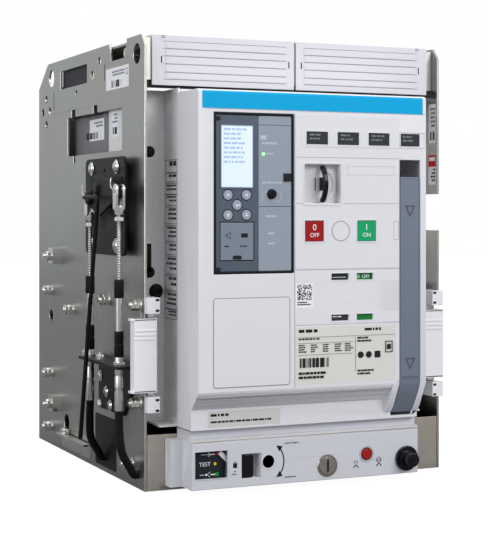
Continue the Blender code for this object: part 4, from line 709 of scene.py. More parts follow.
UPRIGHT = (900, 30, 30)          # streaks run along Y and Z on faces square to X
ALONG_X = (30, 900, 900)
PAINTS = {
    "side sheet": partial(rolled, "sheet", (176, 174, 166), 0.34, (60, 60, 700), 0.10, 0.22),
    "channel sheet": partial(rolled, (196, 195, 190), (190, 186, 176), 0.33, ALONG_X, 0.12, 0.3),
    "base sheet": partial(rolled, (200, 192, 182), (190, 180, 166), 0.36, ALONG_X, 0.12, 0.2),
    "frame sheet": partial(rolled, (228, 229, 230), (222, 222, 220), 0.5, UPRIGHT, 0.08, 0.15, metallic=0.3),
    "bright zinc": partial(rolled, (226, 226, 222), (214, 214, 206), 0.20, (200, 200, 200), 0.25, 0.4,
        scuffs=0.3),
    "sleeve steel": partial(rolled, (205, 207, 208), (196, 196, 194), 0.30, (700, 700, 40), 0.25),
    "lock nickel": partial(rolled, (140, 134, 126), (182, 172, 160), 0.30, (900, 60, 60), 0.20),
    "tinned copper": partial(rolled, (214, 210, 204), (206, 186, 166), 0.30, (60, 900, 60), 0.15, 0.5),
    "cover moulding": partial(moulded, "cover", 0.50, 2200.0, 0.00002, 0.03),
    "panel moulding": partial(moulded, "cover", 0.46, 2600.0, 0.00001, 0.03),
    "louvre moulding": partial(moulded, "louvre", 0.52, 2000.0, 0.00003, 0.03),
    "housing moulding": partial(moulded, "housing", 0.46, 2000.0, 0.00002, 0.04),
    # a darker copy of the cover grey: painted shade on the cover's down-facing foot ribs and in the ring
    # round the release button
    "recess moulding": partial(moulded, (176, 177, 182), 0.5, 2000.0, 0.00002, 0.05),
    "rail moulding": partial(moulded, (236, 236, 238), 0.45, 1800.0, 0.00002, 0.03),
    # dark insulator; also painted shade in the terminals' drilled holes and in the dark sheets over the gaps
    # beside the top channel and above the cover
    "insulator moulding": partial(moulded, (52, 52, 55), 0.52, 900.0, 0.00010, 0.25, (96, 96, 96), 0.6, 0.5),
    "pole moulding": partial(moulded, (116, 116, 119), 0.50, 900.0, 0.00008, 0.18, (160, 160, 160), 0.5, 0.4),
    "chute moulding": partial(moulded, (74, 72, 70), 0.6, 700.0, 0.00012, 0.3, (120, 116, 110), 0.6, 0.5),
    "black moulding": partial(moulded, (20, 22, 26), 0.32, 1500.0, 0.00002, 0.1, (80, 82, 84), 0.4, 0.25),
    "gloss black": partial(moulded, (14, 15, 18), 0.2, 900.0, 0.00001, 0.1, (70, 72, 76), 0.3, 0.1, coat=0.2),
    "bezel moulding": partial(moulded, (38, 43, 48), 0.36, 2000.0, 0.00002, 0.08, (80, 86, 92)),
    "unit dark": partial(moulded, "unit", 0.42, 2600.0, 0.00002, 0.05, (110, 122, 134)),
    "unit pale": partial(moulded, (143, 153, 165), 0.42, 2600.0, 0.00002, 0.05),
    "flap moulding": partial(moulded, (118, 128, 140), 0.42, 2600.0, 0.00002, 0.05),
    "key moulding": partial(moulded, (150, 158, 172), 0.4, 2600.0, 0.00001, 0.05),
    "lever moulding": partial(moulded, "lever", 0.44, 2400.0, 0.00003, 0.06, (146, 154, 166), 0.5),
    # the lever's direction marks, and painted shade in its grip grooves
    "lever mark": partial(moulded, (72, 80, 94), 0.5, 2400.0, 0.00002, 0.05),
    "off red": partial(moulded, "off", 0.5, 2000.0, 0.00001, 0.05, (196, 60, 56)),
    "on green": partial(moulded, "on", 0.5, 2000.0, 0.00001, 0.05, (70, 196, 146)),
    "flag green": partial(moulded, (22, 118, 50), 0.4, 2000.0, 0.00001, 0.06),
    "release red": partial(moulded, (160, 12, 12), 0.28, 2000.0, 0.00001, 0.05, coat=0.4),
    "black coat": partial(coated, (18, 19, 20), 0.42),
    "carriage coat": partial(coated, (50, 51, 53), 0.48, wear=0.9),
    "boot rubber": partial(moulded, (20, 20, 21), 0.62, 1200.0, 0.00006, 0.2, (70, 70, 70), 0.3, 0.4),
    "cable skin": partial(moulded, (16, 16, 17), 0.42, 1500.0, 0.00003, 0.15, (60, 60, 60), 0.2, 0.3),
    "window smoke": partial(moulded, (47, 50, 54), 0.14, 900.0, 0.000005, 0.1, (70, 72, 76), 0.1, 0.05, 0.1,
        0.5),
    "strip blue": partial(inked, "strip", 0.5),
    # black print, and painted shade in holes, slots, vents, the keyway, the flap's finger notch and driver
    # recesses
    "ink black": partial(inked, (34, 34, 36)),
    # grey print, and painted shade in the thin outline round the cover's left raised panel
    "ink grey": partial(inked, (120, 122, 128)),
    # painted shade in the seams of the cover and its panels, round the round opening and in the louvre
    # grooves
    "seam grey": partial(inked, (150, 151, 158), 0.6),
    "ink white": partial(inked, (240, 241, 243)),
    "ink pale": partial(inked, (186, 192, 202)),
    "ink cream": partial(inked, (222, 216, 205)),
    "ink red": partial(inked, (196, 24, 34)),
    "ink yellow": partial(inked, (232, 196, 30)),
    "ink green": partial(inked, (20, 150, 60)),
    "plate film": partial(inked, (216, 216, 209), 0.38),
    "lip film": partial(inked, (205, 205, 202), 0.4),
    "sticker": partial(inked, (238, 238, 240), 0.42),
    "screen": partial(inked, (206, 220, 240), 0.2, 0.35),
    "screen ink": partial(inked, (168, 186, 214), 0.3, 0.2),
    "screen rim": partial(inked, (172, 182, 196), 0.35),
    "lit green": partial(inked, (120, 255, 120), 0.3, 2.0),
}


def paint(name):
    """The material of that name, made on first use."""
    return bpy.data.materials.get(name) or PAINTS[name](name=name)


# ---- What a user would change --------------------------------------------------------------------
def shade_property(name, description, red, green, blue):
    return FloatVectorProperty(name=name, description=description, subtype="COLOR_GAMMA", size=3, min=0.0,
        max=1.0, default=(red / 255, green / 255, blue / 255))


class BreakerFinishes(bpy.types.PropertyGroup):
    """Colours of the mouldings, sheet and inks."""

    cover: shade_property("Cover", "Colour of the front cover and its panels", 222, 221, 225)
    louvre: shade_property("Louvres", "Colour of the louvred top covers", 217, 216, 221)
    housing: shade_property("Drawer", "Colour of the racking housing", 206, 206, 212)
    strip: shade_property("Strip", "Colour of the strip across the top of the cover", 0, 166, 219)
    lever: shade_property("Lever", "Colour of the charging lever", 112, 121, 135)
    unit: shade_property("Trip unit", "Colour of the trip unit's darker panel", 72, 84, 98)
    off: shade_property("Off", "Colour of the off button", 152, 0, 5)
    on: shade_property("On", "Colour of the on button", 0, 158, 98)
    sheet: shade_property("Sheet", "Colour of the zinc-plated side plates", 180, 181, 178)


class BreakerSizes(bpy.types.PropertyGroup):
    """Sizes of the details that finish each piece."""

    edge: FloatProperty(name="Edge", description="Rounding of moulded edges", default=0.0006, unit="LENGTH")
    sheet_edge: FloatProperty(name="Sheet edge", description="Rounding of sheared sheet edges",
        default=0.00035, unit="LENGTH")
    panel: FloatProperty(name="Panel", description="Height of the panels on the front cover", default=0.00035,
        unit="LENGTH")
    groove: FloatProperty(name="Groove", description="Gap between two slats of a louvred cover",
        default=0.0009, unit="LENGTH")
    bolt: FloatProperty(name="Bolt", description="Thread diameter of the side plates' fixings",
        default=0.0060, unit="LENGTH")
    thread: FloatProperty(name="Pitch", description="Thread pitch of the cable rods", default=0.0025,
        unit="LENGTH")


class BreakerStudio(bpy.types.PropertyGroup):
    """The camera and the lights."""

    camera: FloatVectorProperty(name="Camera", description="Place of the camera", subtype="TRANSLATION",
        unit="LENGTH", default=(-0.6401, -1.4837, 0.2672))
    turn: FloatProperty(name="Turn", description="Turn of the camera about the upright", subtype="ANGLE",
        default=math.radians(-24))
    lens: FloatProperty(name="Lens", description="Focal length in millimetres", default=96.27)
    rise: FloatProperty(name="Rise", description="Upward shift of the camera's frame", default=-0.1056)
    key: FloatProperty(name="Key", description="Power of the main soft light", default=35.5, subtype="POWER")
    sky: FloatProperty(name="Sky", description="Brightness of the surroundings", default=0.65, min=0.0)


def sizes():
    return bpy.context.scene.breaker_sizes


def chosen(shade):
    """Display values out of 255: as given, or those of the finish that the word names."""
    if isinstance(shade, str):
        return tuple(255 * value for value in getattr(bpy.context.scene.breaker_finishes, shade))
    return shade


# ---- Shared details ------------------------------------------------------------------------------
def mm(*values):
    return np.array(values, float) * MM


def rect(a0, a1, b0, b1, radius=0.0, steps=5):
    """A rounded box given in millimetres."""
    return box_outline(*mm(a0, a1, b0, b1), radius * MM, steps)


def dot(a, b, radius, sides=40):
    return disc(a * MM, b * MM, radius * MM, sides)


def line(points, width):
    return stroke(np.array(points, float) * MM, width * MM)


def raised(outline, level, height, holes=(), axis="Y", outward=-1, ease=0.0):
    """A thin moulding on a face, sunk a tenth of a millimetre into it."""
    return carried(axis, outline, level - outward * 0.0001, level + outward * height, holes, ease)


def rim(a0, a1, b0, b1, radius, width):
    """The outline and the hole of a frame of even width, in millimetres."""
    inner = max(radius - width, 0.0)
    return rect(a0, a1, b0, b1, radius), [rect(a0 + width, a1 - width, b0 + width, b1 - width, inner)]


def raised_rim(box, level, height):
    """A frame of even width standing on a face; the box is (a0, a1, b0, b1, radius, width) in millimetres."""
    outline, holes = rim(*box)
    return raised(outline, level, height, holes, ease=min(height, box[5] * MM) * 0.3)


def outline_marks(a0, a1, b0, b1, width):
    """The four sides of a box as thin strips, in millimetres."""
    return [rect(a0, a1, b1 - width, b1), rect(a0, a1, b0, b0 + width), rect(a0, a0 + width, b0, b1),
            rect(a1 - width, a1, b0, b1)]


def cells(a0, a1, b0, b1, count, seed):
    """A square patch of cells, about half of them filled, drawn from a seeded generator."""
    filled = np.argwhere(np.random.default_rng(seed).random((count, count)) < 0.5)
    step_a, step_b = (a1 - a0) / count, (b1 - b0) / count
    return [rect(a0 + i * step_a, a0 + (i + 0.98) * step_a, b0 + j * step_b, b0 + (j + 0.98) * step_b)
            for i, j in filled]


def print_rows(a0, a1, b0, b1, rows, seed, fill=0.55):
    return dashes(*mm(a0, a1, b0, b1), rows, seed, fill)


def print_bars(a0, a1, b0, b1, count, seed):
    return bars(*mm(a0, a1, b0, b1), count, seed)


def label(name, axis, level, outward, box, marks, body, colour="sticker"):
    """A stuck-on label: a thin film with print on it. Box and marks are in millimetres."""
    films = [([rect(*box, 0.6)], colour)] + marks
    return printed(name, axis, level, outward, films, body)


# ---- Cassette ------------------------------------------------------------------------------------
class BREAKER_OT_side_plates(bpy.types.Operator):
    """Side plates with sheared edges, their labels and the dark slots"""

    bl_idname = "breaker.side_plates"
    bl_label = "Side plates"

    def execute(self, context):
        inner = -EDGE["base_tray"][0, 0] + 0.0003
        for side, node in ((-1, "side_plate_left"), (1, "side_plate_right")):
            rims = rims_of(node, "X", side * inner)
            plate = carried("X", rims[0], side * inner, side * PLATE_OUT, rims[1:], sizes().sheet_edge)
            make(node + "_sheet", [(plate, "side sheet")], "cassette", (node,))
        left = -PLATE_OUT
        marks = [(outline_marks(-134, -128, 405, 411, 0.8) + print_rows(-124, -76, 405, 411, 2, 4),
                "ink grey"), (print_bars(-116, -84, 394.5, 401.5, 11, 5), "ink black")]
        label("left_plate_label", "X", left, -1, (-137, -67, 392.5, 414.5), marks, "cassette")
        # the slits are painted shade: black strips where the plate is slit
        slits = [rect(-63.2, -61.6, 404, 421, 0.7), rect(119.6, 121.2, 385, 406, 0.7)]
        panel = [rect(-100, -32, 5, 58, 3)]
        printed("left_plate_slots", "X", left, -1, [(slits, "ink black"), (panel, "black coat")], "cassette")
        right = inner
        marks = [(print_rows(-178, -166, 356, 378, 5, 6), "ink grey"),
                 (print_bars(-177, -167, 344, 353, 7, 7), "ink black")]
        label("right_plate_label", "X", right, -1, (-179, -165, 341, 382), marks, "cassette")
        marks = [([rect(-179, -165, 316, 328)], "ink red"), (print_rows(-178, -166, 299, 314, 4, 8),
                "ink black"), (print_rows(-178, -166, 319, 326, 1, 9), "ink white")]
        label("right_plate_notice", "X", right, -1, (-179, -165, 297, 328), marks, "cassette")
        return {"FINISHED"}


class BREAKER_OT_plate_fixings(bpy.types.Operator):
    """Nuts, washers and thread ends on every stud of both side plates"""

    bl_idname = "breaker.plate_fixings"
    bl_label = "Plate fixings"

    def execute(self, context):
        size = sizes().bolt
        for side, node in ((-1, "side_plate_left"), (1, "side_plate_right")):
            parts = []
            tip = EDGE[node][0 if side < 0 else 1, 0]
            foot = side * PLATE_OUT
            for place in [loop.mean(0) for loop in rims_of(node, "X", tip)]:
                blocked = side < 0 and place[0] > 0.08 and (place[1] > 0.2 or 0.04 < place[1] < 0.06)
                start = foot
                if blocked:
                    y, z = place
                    square = carried("X", box_outline(y - 0.004, y + 0.014, z - 0.009, z + 0.009, 0.001),
                        foot, foot - 0.010)
                    parts.append((square, "bright zinc"))
                    start = foot - 0.010
                reach = 0.0105 if blocked else 0.0125 if side < 0 else abs(tip - foot)
                shapes = nut_stack("X", place, start, side, size, reach)
                parts += [(shape, "bright zinc") for shape in shapes]
                if side < 0 and not blocked:
                    parts.append((hexagon("X", place, start - size * 1.16, side, size * 1.62, size * 0.6),
                            "bright zinc"))
            make(node + "_fixings", parts, "cassette")
        shelf = block(*mm(-174, -164.2, -20, 80, 19.5, 22))
        web = block(*mm(-166.8, -164.2, -20, 80, 6, 22))
        parts = [(shelf, "bright zinc"), (web, "bright zinc")]
        parts += [(shape, "bright zinc") for shape in nut_stack("Z", mm(-169.5, 62), 0.022, 1, 0.005, 0.007)]
        make("left_shelf", parts, "cassette", (), sizes().sheet_edge)
        return {"FINISHED"}


class BREAKER_OT_louvres(bpy.types.Operator):
    """Top covers with raised slats, dark slits and small marks"""

    bl_idname = "breaker.louvres"
    bl_label = "Louvred covers"

    def execute(self, context):
        half = sizes().groove / 2
        levels = mm(397.0, 403.8, 411.9, 419.6, 426.7, 434.0)
        for side, node in ((-1, "terminal_cover_left"), (1, "terminal_cover_right")):
            eased(node, "louvre moulding", sizes().edge)
            front = EDGE[node][0, 1]
            parts = []
            for low, high in zip(levels[:-1], levels[1:]):
                x0, x1 = sorted((side * 0.0100, side * 0.1395))
                parts.append((raised(box_outline(x0, x1, low + half, high - half, 0.001), front, 0.0005),
                        "louvre moulding"))
            make(node + "_slats", parts, "cassette", (), 0.0003)
            # the groove floors between the slats are painted grey: painted shade in the grooves
            grooves = [box_outline(*sorted((side * 0.0100, side * 0.1425)), level - half * 0.8, level + half
                    * 0.4) for level in levels]
            printed(node + "_grooves", "Y", front, -1, [(grooves, "seam grey")], "cassette")
            # the slits are painted shade in black
            slits = [rect(side * 143.8 - 0.6, side * 143.8 + 0.6, 412.6, 419.4, 0.5),
                     rect(side * 7.0 - 0.6, side * 7.0 + 0.6, 412.6, 419.4, 0.5)]
            squares = outline_marks(side * 142 - 1.6, side * 142 + 1.6, 436.8, 439.4, 0.5)
            printed(node + "_slits", "Y", front, -1, [(slits, "ink black"), (squares, "ink grey")],
                "cassette")
        return {"FINISHED"}


class BREAKER_OT_top_channel(bpy.types.Operator):
    """The folded channel across the top and the roller seen through the notch"""

    bl_idname = "breaker.top_channel"
    bl_label = "Top channel"

    def execute(self, context):
        eased("top_channel", "channel sheet", sizes().sheet_edge)
        # dark sheets over the gaps beside the top channel and above the cover: painted shade where the gaps
        # show only shadow
        shade_sheets = []
        for side in (-1, 1):
            x0, x1 = sorted(side * mm(159.5, 160.5))
            shade_sheets.append((block(x0, x1, *mm(-5, 97, 404, 429)), "insulator moulding"))
        shade_sheets.append((block(*mm(-161, 161, -170, -168, 388.6, 403)), "insulator moulding"))
        make("gap_shields", shade_sheets, "cassette")
        x0, x1 = EDGE["top_channel"][:, 0]
        roller = turned("X", mm(-118, 427), [(x0, 0.0050), (x0 + 0.030, 0.0050), (x0 + 0.030, 0.0032),
                (x1 - 0.030, 0.0032), (x1 - 0.030, 0.0050), (x1, 0.0050)])
        make("channel_roller", [(roller, "sleeve steel")], "cassette")
        return {"FINISHED"}


class BREAKER_OT_base_and_rear(bpy.types.Operator):
    """Base tray, and the insulating rear wall with its screws and barriers"""

    bl_idname = "breaker.base_and_rear"
    bl_label = "Base and rear wall"

    def execute(self, context):
        eased("base_tray", "base sheet", sizes().sheet_edge)
        eased("rear_wall", "insulator moulding", 0.0010)
        back = EDGE["rear_wall"][1, 1]
        parts, dark = [], []
        for x in mm(-152, 152):
            for z in mm(30, 215, 395):
                parts.append((washer("Y", (x, z), back, 1, 0.0070, 0.0012), "bright zinc"))
                parts.append((socket_screw("Y", (x, z), back + 0.0012, 1, 0.0052, 0.0045), "bright zinc"))
        for x in POLE_GAPS:
            barrier = raised(rect(x - 2, x + 2, 42, 402, 2.0), back, 0.0025, (), "Y", 1)
            dark.append((barrier, "insulator moulding"))
        make("rear_wall_screws", parts, "cassette")
        make("rear_wall_barriers", dark, "cassette", (), 0.0008)
        return {"FINISHED"}


class BREAKER_OT_terminals(bpy.types.Operator):
    """Plated terminals with drilled pads, and the breaker's stabs"""

    bl_idname = "breaker.terminals"
    bl_label = "Terminals"

    def execute(self, context):
        for row in ("upper", "lower"):
            for number in (1, 2, 3):
                node = f"{row}_terminal_{number}"
                eased(node, "tinned copper", 0.0008)
                eased(f"{row}_stab_{number}", "tinned copper", 0.0006)
                low, high = EDGE[node]
                x = (low[0] + high[0]) / 2
                z0, z1 = (low[2] + high[2]) / 2 - 0.006, (low[2] + high[2]) / 2 + 0.006
                # the dark discs on each pad are painted shade in its drilled holes
                rings_at = [(x - 0.011, high[1] - 0.016), (x + 0.011, high[1] - 0.016)]
                parts = []
                for place in rings_at:
                    for level, outward in ((z0, -1), (z1, 1)):
                        parts.append((turned("Z", place, [(level - outward * 0.0005, 0.0066),
                                    (level + outward * 0.0001, 0.0066), (level + outward * 0.0001, 0.0062),
                                    (level - outward * 0.0001, 0.0058)]), "insulator moulding"))
                make(node + "_holes", parts, "cassette")
        return {"FINISHED"}


class BREAKER_OT_rails(bpy.types.Operator):
    """Draw-out rails, their guides, and the white handles with their grip ribs"""

    bl_idname = "breaker.rails"
    bl_label = "Rails and handles"

    def execute(self, context):
        for side, word in ((-1, "left"), (1, "right")):
            guide, handle, rail = f"rail_guide_{word}", f"rail_handle_{word}", f"rail_{word}"
            eased(guide, "rail moulding", 0.0005)
            eased(handle, "rail moulding", 0.0009)
            eased(rail, "bright zinc", sizes().sheet_edge)
            x0, y0, z0 = EDGE[handle][0]
            x1, y1, z1 = EDGE[handle][1]
            ribs = [(raised(box_outline(x0 + 0.001, x1 - 0.001, z - 0.0011, z + 0.0011, 0.0008), y0, 0.0008),
                     "rail moulding") for z in z1 - mm(11.5, 15.5, 19.5)]
            for z in (z0, z1 - 0.0022):
                outer = x0 - 0.0030 if side < 0 else x0
                ribs.append((block(outer, x1, y0, y1 - 0.003, z, z + 0.0022), "rail moulding"))
            make(handle + "_ribs", ribs, "rail_set_" + word, (), 0.0004)
            g0, g1 = EDGE[guide]
            # the guide's slots are painted shade: black strips
            slots = []
            for z in (g0[2] + 0.0022, g0[2] + 0.0124, g1[2] - 0.0124, g1[2] - 0.0022):
                a0, a1 = (g1[0] - 0.0045, g1[0] - 0.0010) if side < 0 else (g0[0] + 0.0010, g0[0] + 0.0045)
                slots.append(box_outline(a0, a1, z - 0.0012, z + 0.0012))
            printed(guide + "_slots", "Y", g0[1], -1, [(slots, "ink black")], "cassette")
        return {"FINISHED"}


class BREAKER_OT_racking(bpy.types.Operator):
    """The drawer front: indicator, padlock slider, crank hole, key lock, release button and stored crank"""

    bl_idname = "breaker.racking"
    bl_label = "Racking drawer"

    def execute(self, context):
        housing = eased("racking_housing", "housing moulding", 0.0, whole=False)
        for vertex in housing.data.vertices:
            vertex.co.y = max(vertex.co.y, LIP + 0.0009)
        outline, *openings = rims_of("racking_housing", "Y", LIP)
        front = carried("Y", outline, LIP, LIP + 0.0012, openings, 0.0005)
        make("racking_housing_front", [(front, "housing moulding")], "cassette")
        for node, colour, slot, bevel, segments in (
                ("racking_slider", "black moulding", "black_plastic", 0.0012, 3),
                ("racking_handle", "gloss black", "black_plastic", 0.0012, 3),
                ("key_lock_core", "lock nickel", "zinc_bright", 0.0004, 2),
                ("release_button", "release red", "red", 0.0008, 3),
                ("racking_screw", "bright zinc", "zinc_bright", 0.0004, 2),
                ("racking_carriage", "carriage coat", "black_steel", 0.0006, 2),
                ("position_pointer", "rail moulding", "rail_white", 0.0003, 2)):
            eased(node, colour, bevel, segments)
        plate_y = EDGE["position_pointer"][1, 1] + 0.0009
        icons = [([rect(-128.6, -94, 14.2, 42)], "bezel moulding"),
            ([rect(-119, -110.5, 36.9, 37.4), rect(-112, -104.6, 36.6, 37.7), rect(-120, -115.5, 17.6, 18.1),
                    rect(-109, -104, 17.3, 18.4)] + [line([(-111.5, 39), (-108.6, 37.1), (-111.5, 35.2)],
                    0.5), dot(-113.5, 17.9, 1.0), line([(-109.5, 20.3), (-112.6, 17.9), (-109.5, 15.6)],
                    0.5)], "ink white"), ([rect(-103.6, -100.2, 36.0, 39.4)], "ink red"),
            ([dot(-104.4, 27.9, 1.5)], "ink yellow"), ([rect(-104.2, -100.8, 16.4, 19.4)], "ink green")]
        printed("indicator_plate", "Y", plate_y, -1, icons, "cassette")
        lettering("indicator_word", "TEST", (-0.1150, plate_y - 0.0004, 0.0280), 0.0040, "Y", -1, "ink white",
            "cassette")
        pieces = [(raised_rim((-129.4, -93.6, 14.2, 42.0, 1.2, 0.9), LIP, 0.0005), "housing moulding")]
        for centre, colour, profile in (
                (mm(12.2, 19.0), "lock nickel", [(0.2, 11.2), (-0.6, 11.0), (-1.2, 10.4), (-1.2, 9.5),
                        (0.2, 9.5)]),
                # the ring round the release button is painted shade, darker than the housing
                (mm(56.0, 27.7), "recess moulding", [(0.2, 8.2), (-0.6, 7.8), (-0.6, 6.4), (0.2, 6.3)]),
                (mm(-51.6, 27.5), "housing moulding", [(0.2, 7.8), (-0.3, 7.4), (-0.3, 6.3), (0.2, 6.2)])):
            profile = np.array(profile) * MM + (LIP, 0.0)
            pieces.append((turned("Y", centre, profile, 48), colour))
        make("drawer_rings", pieces, "cassette")
        core = EDGE["key_lock_core"][0, 1]
        # the keyway is painted shade: a black slot on the lock's core
        make("key_slot", [(carried("Y", rect(11.2, 13.2, 12.6, 25.4, 0.9), core - PRINT, core + PRINT),
                    "ink black"), (raised_rim((10.1, 14.3, 11.4, 26.6, 1.6, 0.7), core, 0.0004),
                    "lock nickel")], "key_lock")
        arc = arc_band(*mm(-55.6, 27.0, 19.8, 21.1), -38, 38, 24)
        marks = [([arc, np.array([(-43.4, 42.4), (-36.4, 41.4), (-39.8, 36.4)]) * MM,
                    np.array([(-43.4, 11.6), (-39.8, 17.6), (-36.4, 12.6)]) * MM]
                + print_rows(-34, -14, 42.4, 44.4, 1, 11) + print_rows(-34, -17, 9.6, 11.6, 1, 12)
                + [rect(-88.8, -84.6, 23.6, 28.4, 0.5), arc_band(*mm(-86.7, 28.4, 0.9, 1.5), 0, 180, 12),
                    dot(-86.7, 20.4, 0.8)] + print_rows(-90, -83.6, 16.6, 18.2, 1, 13) + person(44.0, 17.0)
                + person(70.0, 17.0) + [arc_band(*mm(70.0, 21.0, 2.2, 2.8), 0, 360, 24)], "ink black")]
        printed("drawer_print", "Y", LIP, -1, marks, "cassette")
        return {"FINISHED"}


def person(a, b):
    """A keeper's mark: a round head over a broad foot, in millimetres."""
    return [arc_band(*mm(a, b + 2.8, 1.3, 1.9), -60, 240, 20), line(
                [(a - 2.8, b - 2.4), (a, b + 0.6), (a + 2.8, b - 2.4)], 1.2)]


# ---- Interlock -----------------------------------------------------------------------------------
ROD_X = (EDGE["cable_rod_front"][0, 0] + EDGE["cable_rod_front"][1, 0]) / 2
ROD_Y = {end: (EDGE["cable_rod_" + end][0, 1] + EDGE["cable_rod_" + end][1, 1]) / 2
    for end in ("front", "rear")}


class BREAKER_OT_interlock_plate(bpy.types.Operator):
    """The black plate with its slots, keyhole, corner bolts and pivot stud"""

    bl_idname = "breaker.interlock_plate"
    bl_label = "Interlock plate"

    def execute(self, context):
        eased("interlock_plate", "black coat", 0.0007)
        (x0, y0, z0), (_, y1, z1) = EDGE["interlock_plate"]
        face = -PLATE_OUT - 0.0067 - 0.003
        # the slots and keyhole are painted shade in black
        dark = [rect(-92.6, -89.4, 256, 265, 1.4), dot(-91, 312, 3.4, 24), rect(-93, -89, 303, 312, 1.0),
                rect(-46.8, -44.0, 295, 304, 1.2), rect(-138.6, -136.2, 262, 296, 1.0)]
        printed("interlock_plate_slots", "X", face, -1, [(dark, "ink black")], "cassette")
        places = [(y, z) for y in (y0 + 0.023, y1 - 0.023) for z in (z0 + 0.010, z1 - 0.010)]
        parts = []
        for place in places:
            parts += [(washer("X", place, face, -1, 0.0072, 0.0012), "bright zinc"),
                (pan_screw("X", place, face - 0.0010, -1, 0.0060), "bright zinc")]
        for place in places:
            parts += [(shape, "ink black") for shape in cross_slot("X", place, face - 0.0034, -1, 0.0040)]
        make("interlock_plate_bolts", parts, "cassette")
        y, z = -0.0970, 0.2905
        nut = [(turned("X", (y, z), [(x0 + 0.0012, 0.0062), (x0 - 0.0006, 0.0060), (x0 - 0.0006, 0.0040),
                    (x0 - 0.0012, 0.0036)], 32), "black coat")]
        make("pivot_cap", nut, "cassette")
        return {"FINISHED"}


class BREAKER_OT_interlock_rods(bpy.types.Operator):
    """Rocker, forked clevises with pins and cotters, threaded cable rods and the black push rod"""

    bl_idname = "breaker.interlock_rods"
    bl_label = "Rocker and rods"

    def execute(self, context):
        eased("interlock_rocker", "black coat", 0.0006)
        x0 = EDGE["interlock_rocker"][0, 0]
        hub = turned("X", mm(-75, 283), [(x0 + 0.0002, 0.0075), (x0 - 0.0035, 0.0073), (x0 - 0.0042, 0.0062),
                (x0 - 0.0042, 0.0034)], 32)
        hub_two = turned("X", mm(-97, 290.5), [(x0 + 0.0002, 0.0078), (x0 - 0.0010, 0.0076),
                (x0 - 0.0010, 0.0044), (x0 + 0.0002, 0.0044)], 32)
        make("rocker_collars", [(hub, "black coat"), (hub_two, "black coat")], "rocker")
        for end, body in (("front", "front_rod"), ("rear", "rear_rod")):
            node = "cable_rod_" + end
            y, top = ROD_Y[end], EDGE[node][1, 2]
            arms = []
            for low, high in ((ROD_X - 0.0048, ROD_X - 0.0023), (ROD_X + 0.0023, ROD_X + 0.0048)):
                outline = np.concatenate([arc_band(y, top - 0.0048, 0.0, 0.0048, 0, 180, 14)[:14],
                        [(y - 0.0048, top - 0.0225), (y - 0.0036, top - 0.0250), (y + 0.0036, top - 0.0250),
                            (y + 0.0048, top - 0.0225)]])
                arms.append((carried("X", outline, low, high), "bright zinc"))
            neck = turned("Z", (ROD_X, y), [(top - 0.0210, 0.0050), (top - 0.0225, 0.0052),
                    (top - 0.0275, 0.0046), (top - 0.0300, 0.0040)], 24)
            nut = hexagon("Z", (ROD_X, y), top - 0.0362, 1, 0.0080, 0.0045)
            pin = turned("X", (y, top - 0.0055), [(ROD_X - 0.0056, 0.0030), (ROD_X - 0.0049, 0.0034),
                    (ROD_X - 0.0049, 0.0021), (ROD_X + 0.0056, 0.0021), (ROD_X + 0.0062, 0.0016)], 20)
            cotter = routed(spline(np.array([(ROD_X - 0.0060, y + 0.0008, top - 0.0055),
                        (ROD_X - 0.0064, y + 0.0052, top - 0.0030), (ROD_X - 0.0058, y + 0.0086, top
                        + 0.0016), (ROD_X - 0.0050, y + 0.0094, top + 0.0060)])), 0.0006, (1, 0, 0), 8)
            shaft = threaded("Z", (ROD_X, y), EDGE[node][0, 2], top - 0.0290, 0.0024, sizes().thread)
            shapes = arms + [(shape, "bright zinc") for shape in (neck, nut, pin, cotter)]
            make(node + "_fork", shapes, body, (node,), 0.0003)
            make(node + "_thread", [(shaft, "bright zinc")], body)
        low, high = EDGE["push_rod"]
        x = (low[0] + high[0]) / 2
        bend = np.array([(x, -0.0830, 0.2830), (x, -0.1190, 0.2830), (x, -0.1232, 0.2818),
                (x, -0.1250, 0.2780), (x, -0.1243, 0.2700)])
        leg = np.linspace(bend[-1], (x, -0.0703, 0.0375), 12)[1:]
        rod = routed(np.concatenate([spline(bend, 6), leg]), 0.0021, (1, 0, 0), 20)
        tube = routed(leg[3:], 0.0022, (1, 0, 0), 20)
        make("push_rod_piece", [(rod, "black coat"), (tube, "black coat")], "push_link",
            ("push_rod",))
        return {"FINISHED"}


